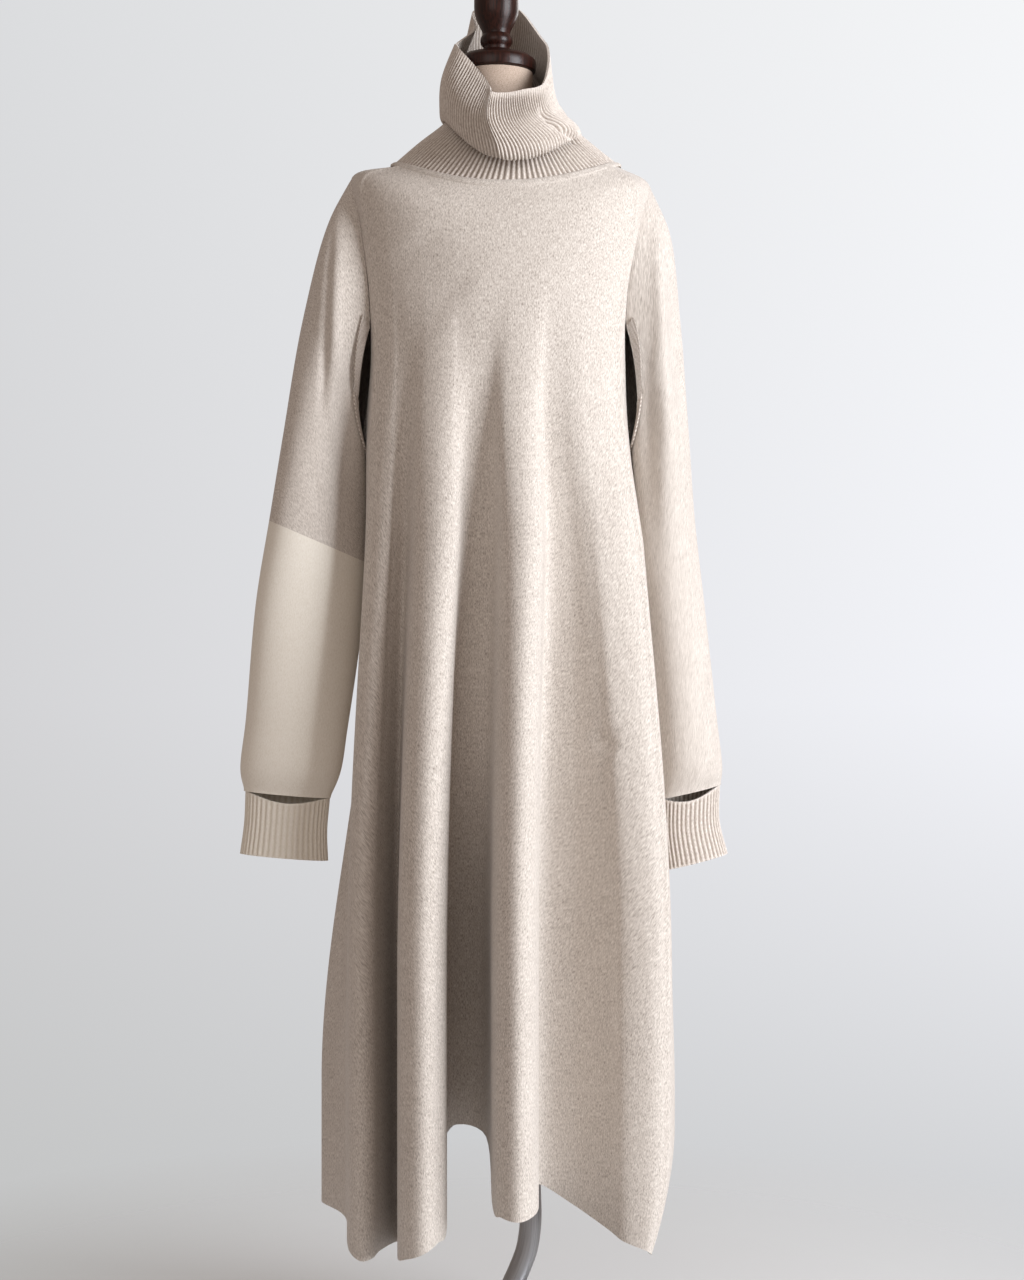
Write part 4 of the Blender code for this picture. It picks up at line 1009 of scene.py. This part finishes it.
rows = body_rows(72, 110)
front = dress(make_body("dress_front_cloth", 0, FRONT_END, 190, rows), "heather_knit", "dress_front")
back = dress(make_body("dress_back_cloth", FRONT_END, TRACK_COUNT, 150, rows), "heather_knit", "dress_back")
sleeve_left = dress(
    make_sleeve("sleeve_left_cloth", "sleeve_left", SLEEVE_LEFT, True, 0, 1, 170, 110, 62),
    "heather_knit", "sleeve_left")
RIGHT = ("sleeve_right", SLEEVE_RIGHT, False)
sleeve_upper = dress(
    make_sleeve("sleeve_right_upper_cloth", *RIGHT, 0, COLOUR_SPLIT, 100, 110, -62),
    "heather_knit", "sleeve_right_upper")
sleeve_lower = dress(
    make_sleeve("sleeve_right_lower_cloth", *RIGHT, COLOUR_SPLIT, 1, 80, 110, 0),
    "cream_knit", "sleeve_right_lower")
cuff_left = dress(make_cuff("cuff_left_rib", CUFF_LEFT, 42, 8, 34), "heather_rib", "cuff_left")
cuff_right = dress(make_cuff("cuff_right_rib", CUFF_RIGHT, 44, 8, 34), "cream_rib", "cuff_right")
band_left = make_band("underarm_rib_left", SLEEVE_LEFT, True, 48, 6)
band_right = make_band("underarm_rib_right", SLEEVE_RIGHT, False, 48, 6)
dress(band_left, "heather_rib", "underarm_band_left")
dress(band_right, "heather_rib", "underarm_band_right")
collar = dress(make_collar("collar_rib", 128, 6), "heather_rib", "collar")
trim = dress(make_neck_trim("neck_seam_band", 240), "heather_knit", "neck_trim")
dress(make_torso("torso_linen"), "linen", "form_torso")
dress(turned("neck_cap_wood", CAP, 96, FORM_X), "dark_wood", "form_neck_cap")
dress(turned("finial_wood", FINIAL, 80, FORM_X), "dark_wood", "form_finial")
dress(make_pole("pole_steel"), "satin_steel", "stand_pole")
dress(turned("base_steel", BASE, 160, 0.0), "satin_steel", "stand_base")
dress(turned("socket_steel", SOCKET, 72, 0.0), "satin_steel", "stand_socket")
for node in ("form_arm_plate_left", "form_arm_plate_right", "form_base_board"):
    finished(frame["nodes"][node], "dark_wood")
finished(frame["nodes"]["stand_flange"], "satin_steel")

# ---- stage, light, camera ----


FLOOR_SIDES = 96
FLOOR_DROP = 0.0005
# The wall's colours, with painted window light and shade: from low to high, away from the window and towards
# it, and where in view they lie.
WALL_LEVELS = (0.0, 0.45, 1.0)
WALL_DIM = ((0.533, 0.539, 0.537), (0.657, 0.657, 0.672), (0.708, 0.716, 0.730))
WALL_BRIGHT = ((0.609, 0.617, 0.631), (0.896, 0.905, 0.947), (0.913, 0.922, 0.938))
WALL_REACH = 0.23
WALL_HEIGHT = 0.28
AMBIENT = 0.33
AMBIENT_COLOUR = (1.0, 0.83, 0.73, 1.0)
# The camera: its sensor in mm, its place, and the height that it sees at the object's middle.
SENSOR = 24.0
SEEN_FROM = (0.0132, -2.4, 0.7975)
SEEN_HEIGHT = 1.408

def floor(radius):
    """A pale floor that fades out with distance."""
    nodes = Nodes("pale_floor")
    place = nodes.add("ShaderNodeTexCoord").outputs["Object"]
    far = nodes.add("ShaderNodeVectorMath", operation="LENGTH", inputs={0: place}).outputs["Value"]
    share = nodes.ramp(nodes.math("DIVIDE", far, radius), (0.10, 1.0), (0.50, 0.0))
    mottle = nodes.ramp(nodes.noise(place, 3.0), (0.3, (0.66, 0.67, 0.68)), (0.7, (0.70, 0.71, 0.72)))
    nodes.set(Base_Color=mottle, Roughness=0.7, Alpha=share)
    angle = turn(FLOOR_SIDES, 2 * np.pi)
    circle = np.stack([np.cos(angle), np.sin(angle), np.zeros(FLOOR_SIDES)], axis=1)
    points = np.linspace(0.02, radius, 20)[:, None, None] * circle - np.array([0.0, 0.0, FLOOR_DROP])
    index = np.arange(points.shape[0] * FLOOR_SIDES).reshape(-1, FLOOR_SIDES)
    index = np.concatenate([index, index[:, :1]], axis=1)
    mesh = bpy.data.meshes.new("floor")
    mesh.from_pydata(points.reshape(-1, 3).tolist(), [], [*cells(index).tolist(), list(range(FLOOR_SIDES))])
    mesh.materials.append(nodes.made)
    placed("floor", mesh)


def light(name, place, aim, size, power, colour):
    """A rectangular lamp at a place, turned to its aim."""
    lamp = bpy.data.lights.new(name, "AREA")
    lamp.shape = "RECTANGLE"
    lamp.size, lamp.size_y = size
    lamp.energy = power
    lamp.color = colour
    obj = placed(name, lamp)
    obj.location = place
    aim = np.array(aim, float) - np.array(place, float)
    across = np.arctan2(-aim[0], aim[1])
    down = np.arctan2(-aim[2], np.hypot(aim[0], aim[1]))
    obj.rotation_euler = (np.pi / 2 - down, 0.0, across)


def world():
    """Soft light from all round, and a plain wall with painted window light: brighter on the side of the
    window, and darker towards the bottom.
    """
    made = bpy.data.worlds.new("studio")
    SCENE.world = made
    nodes = Nodes("studio", made)
    nodes.tree.nodes.clear()
    place = nodes.add("ShaderNodeTexCoord").outputs["Generated"]
    parts = nodes.add("ShaderNodeSeparateXYZ", inputs={0: place})
    side, height = (nodes.add("ShaderNodeMapRange", inputs={
        "Value": parts.outputs[axis], "From Min": -reach, "From Max": reach,
    }).outputs[0] for axis, reach in (("X", WALL_REACH), ("Z", WALL_HEIGHT)))
    dim, bright = (nodes.ramp(height, *zip(WALL_LEVELS, colours)) for colours in (WALL_DIM, WALL_BRIGHT))
    wall = nodes.add("ShaderNodeBackground", inputs={"Color": nodes.blend(side, dim, bright)})
    lit = nodes.add("ShaderNodeBackground", inputs={"Color": AMBIENT_COLOUR, "Strength": AMBIENT})
    seen = nodes.add("ShaderNodeLightPath").outputs["Is Camera Ray"]
    pick = nodes.add("ShaderNodeMixShader", inputs={"Fac": seen, 1: lit.outputs[0], 2: wall.outputs[0]})
    nodes.add("ShaderNodeOutputWorld", inputs={"Surface": pick.outputs[0]})


floor(2.2)
world()
light("window", (2.20, -1.40, 1.40), (0.0, 0.0, 0.85), (1.3, 2.2), 108.0, (0.955, 0.985, 1.03))
light("front_fill", (-0.9, -3.0, 1.9), (0.0, 0.0, 0.8), (2.0, 2.0), 15.0, (1.0, 0.96, 0.93))
light("back_fill", (1.2, 2.6, 1.8), (0.0, 0.0, 0.8), (2.0, 2.0), 30.0, (1.0, 1.0, 1.0))

lens = bpy.data.cameras.new("camera")
lens.sensor_fit = "VERTICAL"
lens.sensor_height = SENSOR
lens.lens = SENSOR * -SEEN_FROM[1] / SEEN_HEIGHT
camera = placed("camera", lens)
camera.location = SEEN_FROM
camera.rotation_euler = (np.pi / 2, 0.0, 0.0)
SCENE.camera = camera
SCENE.view_settings.view_transform = "Standard"
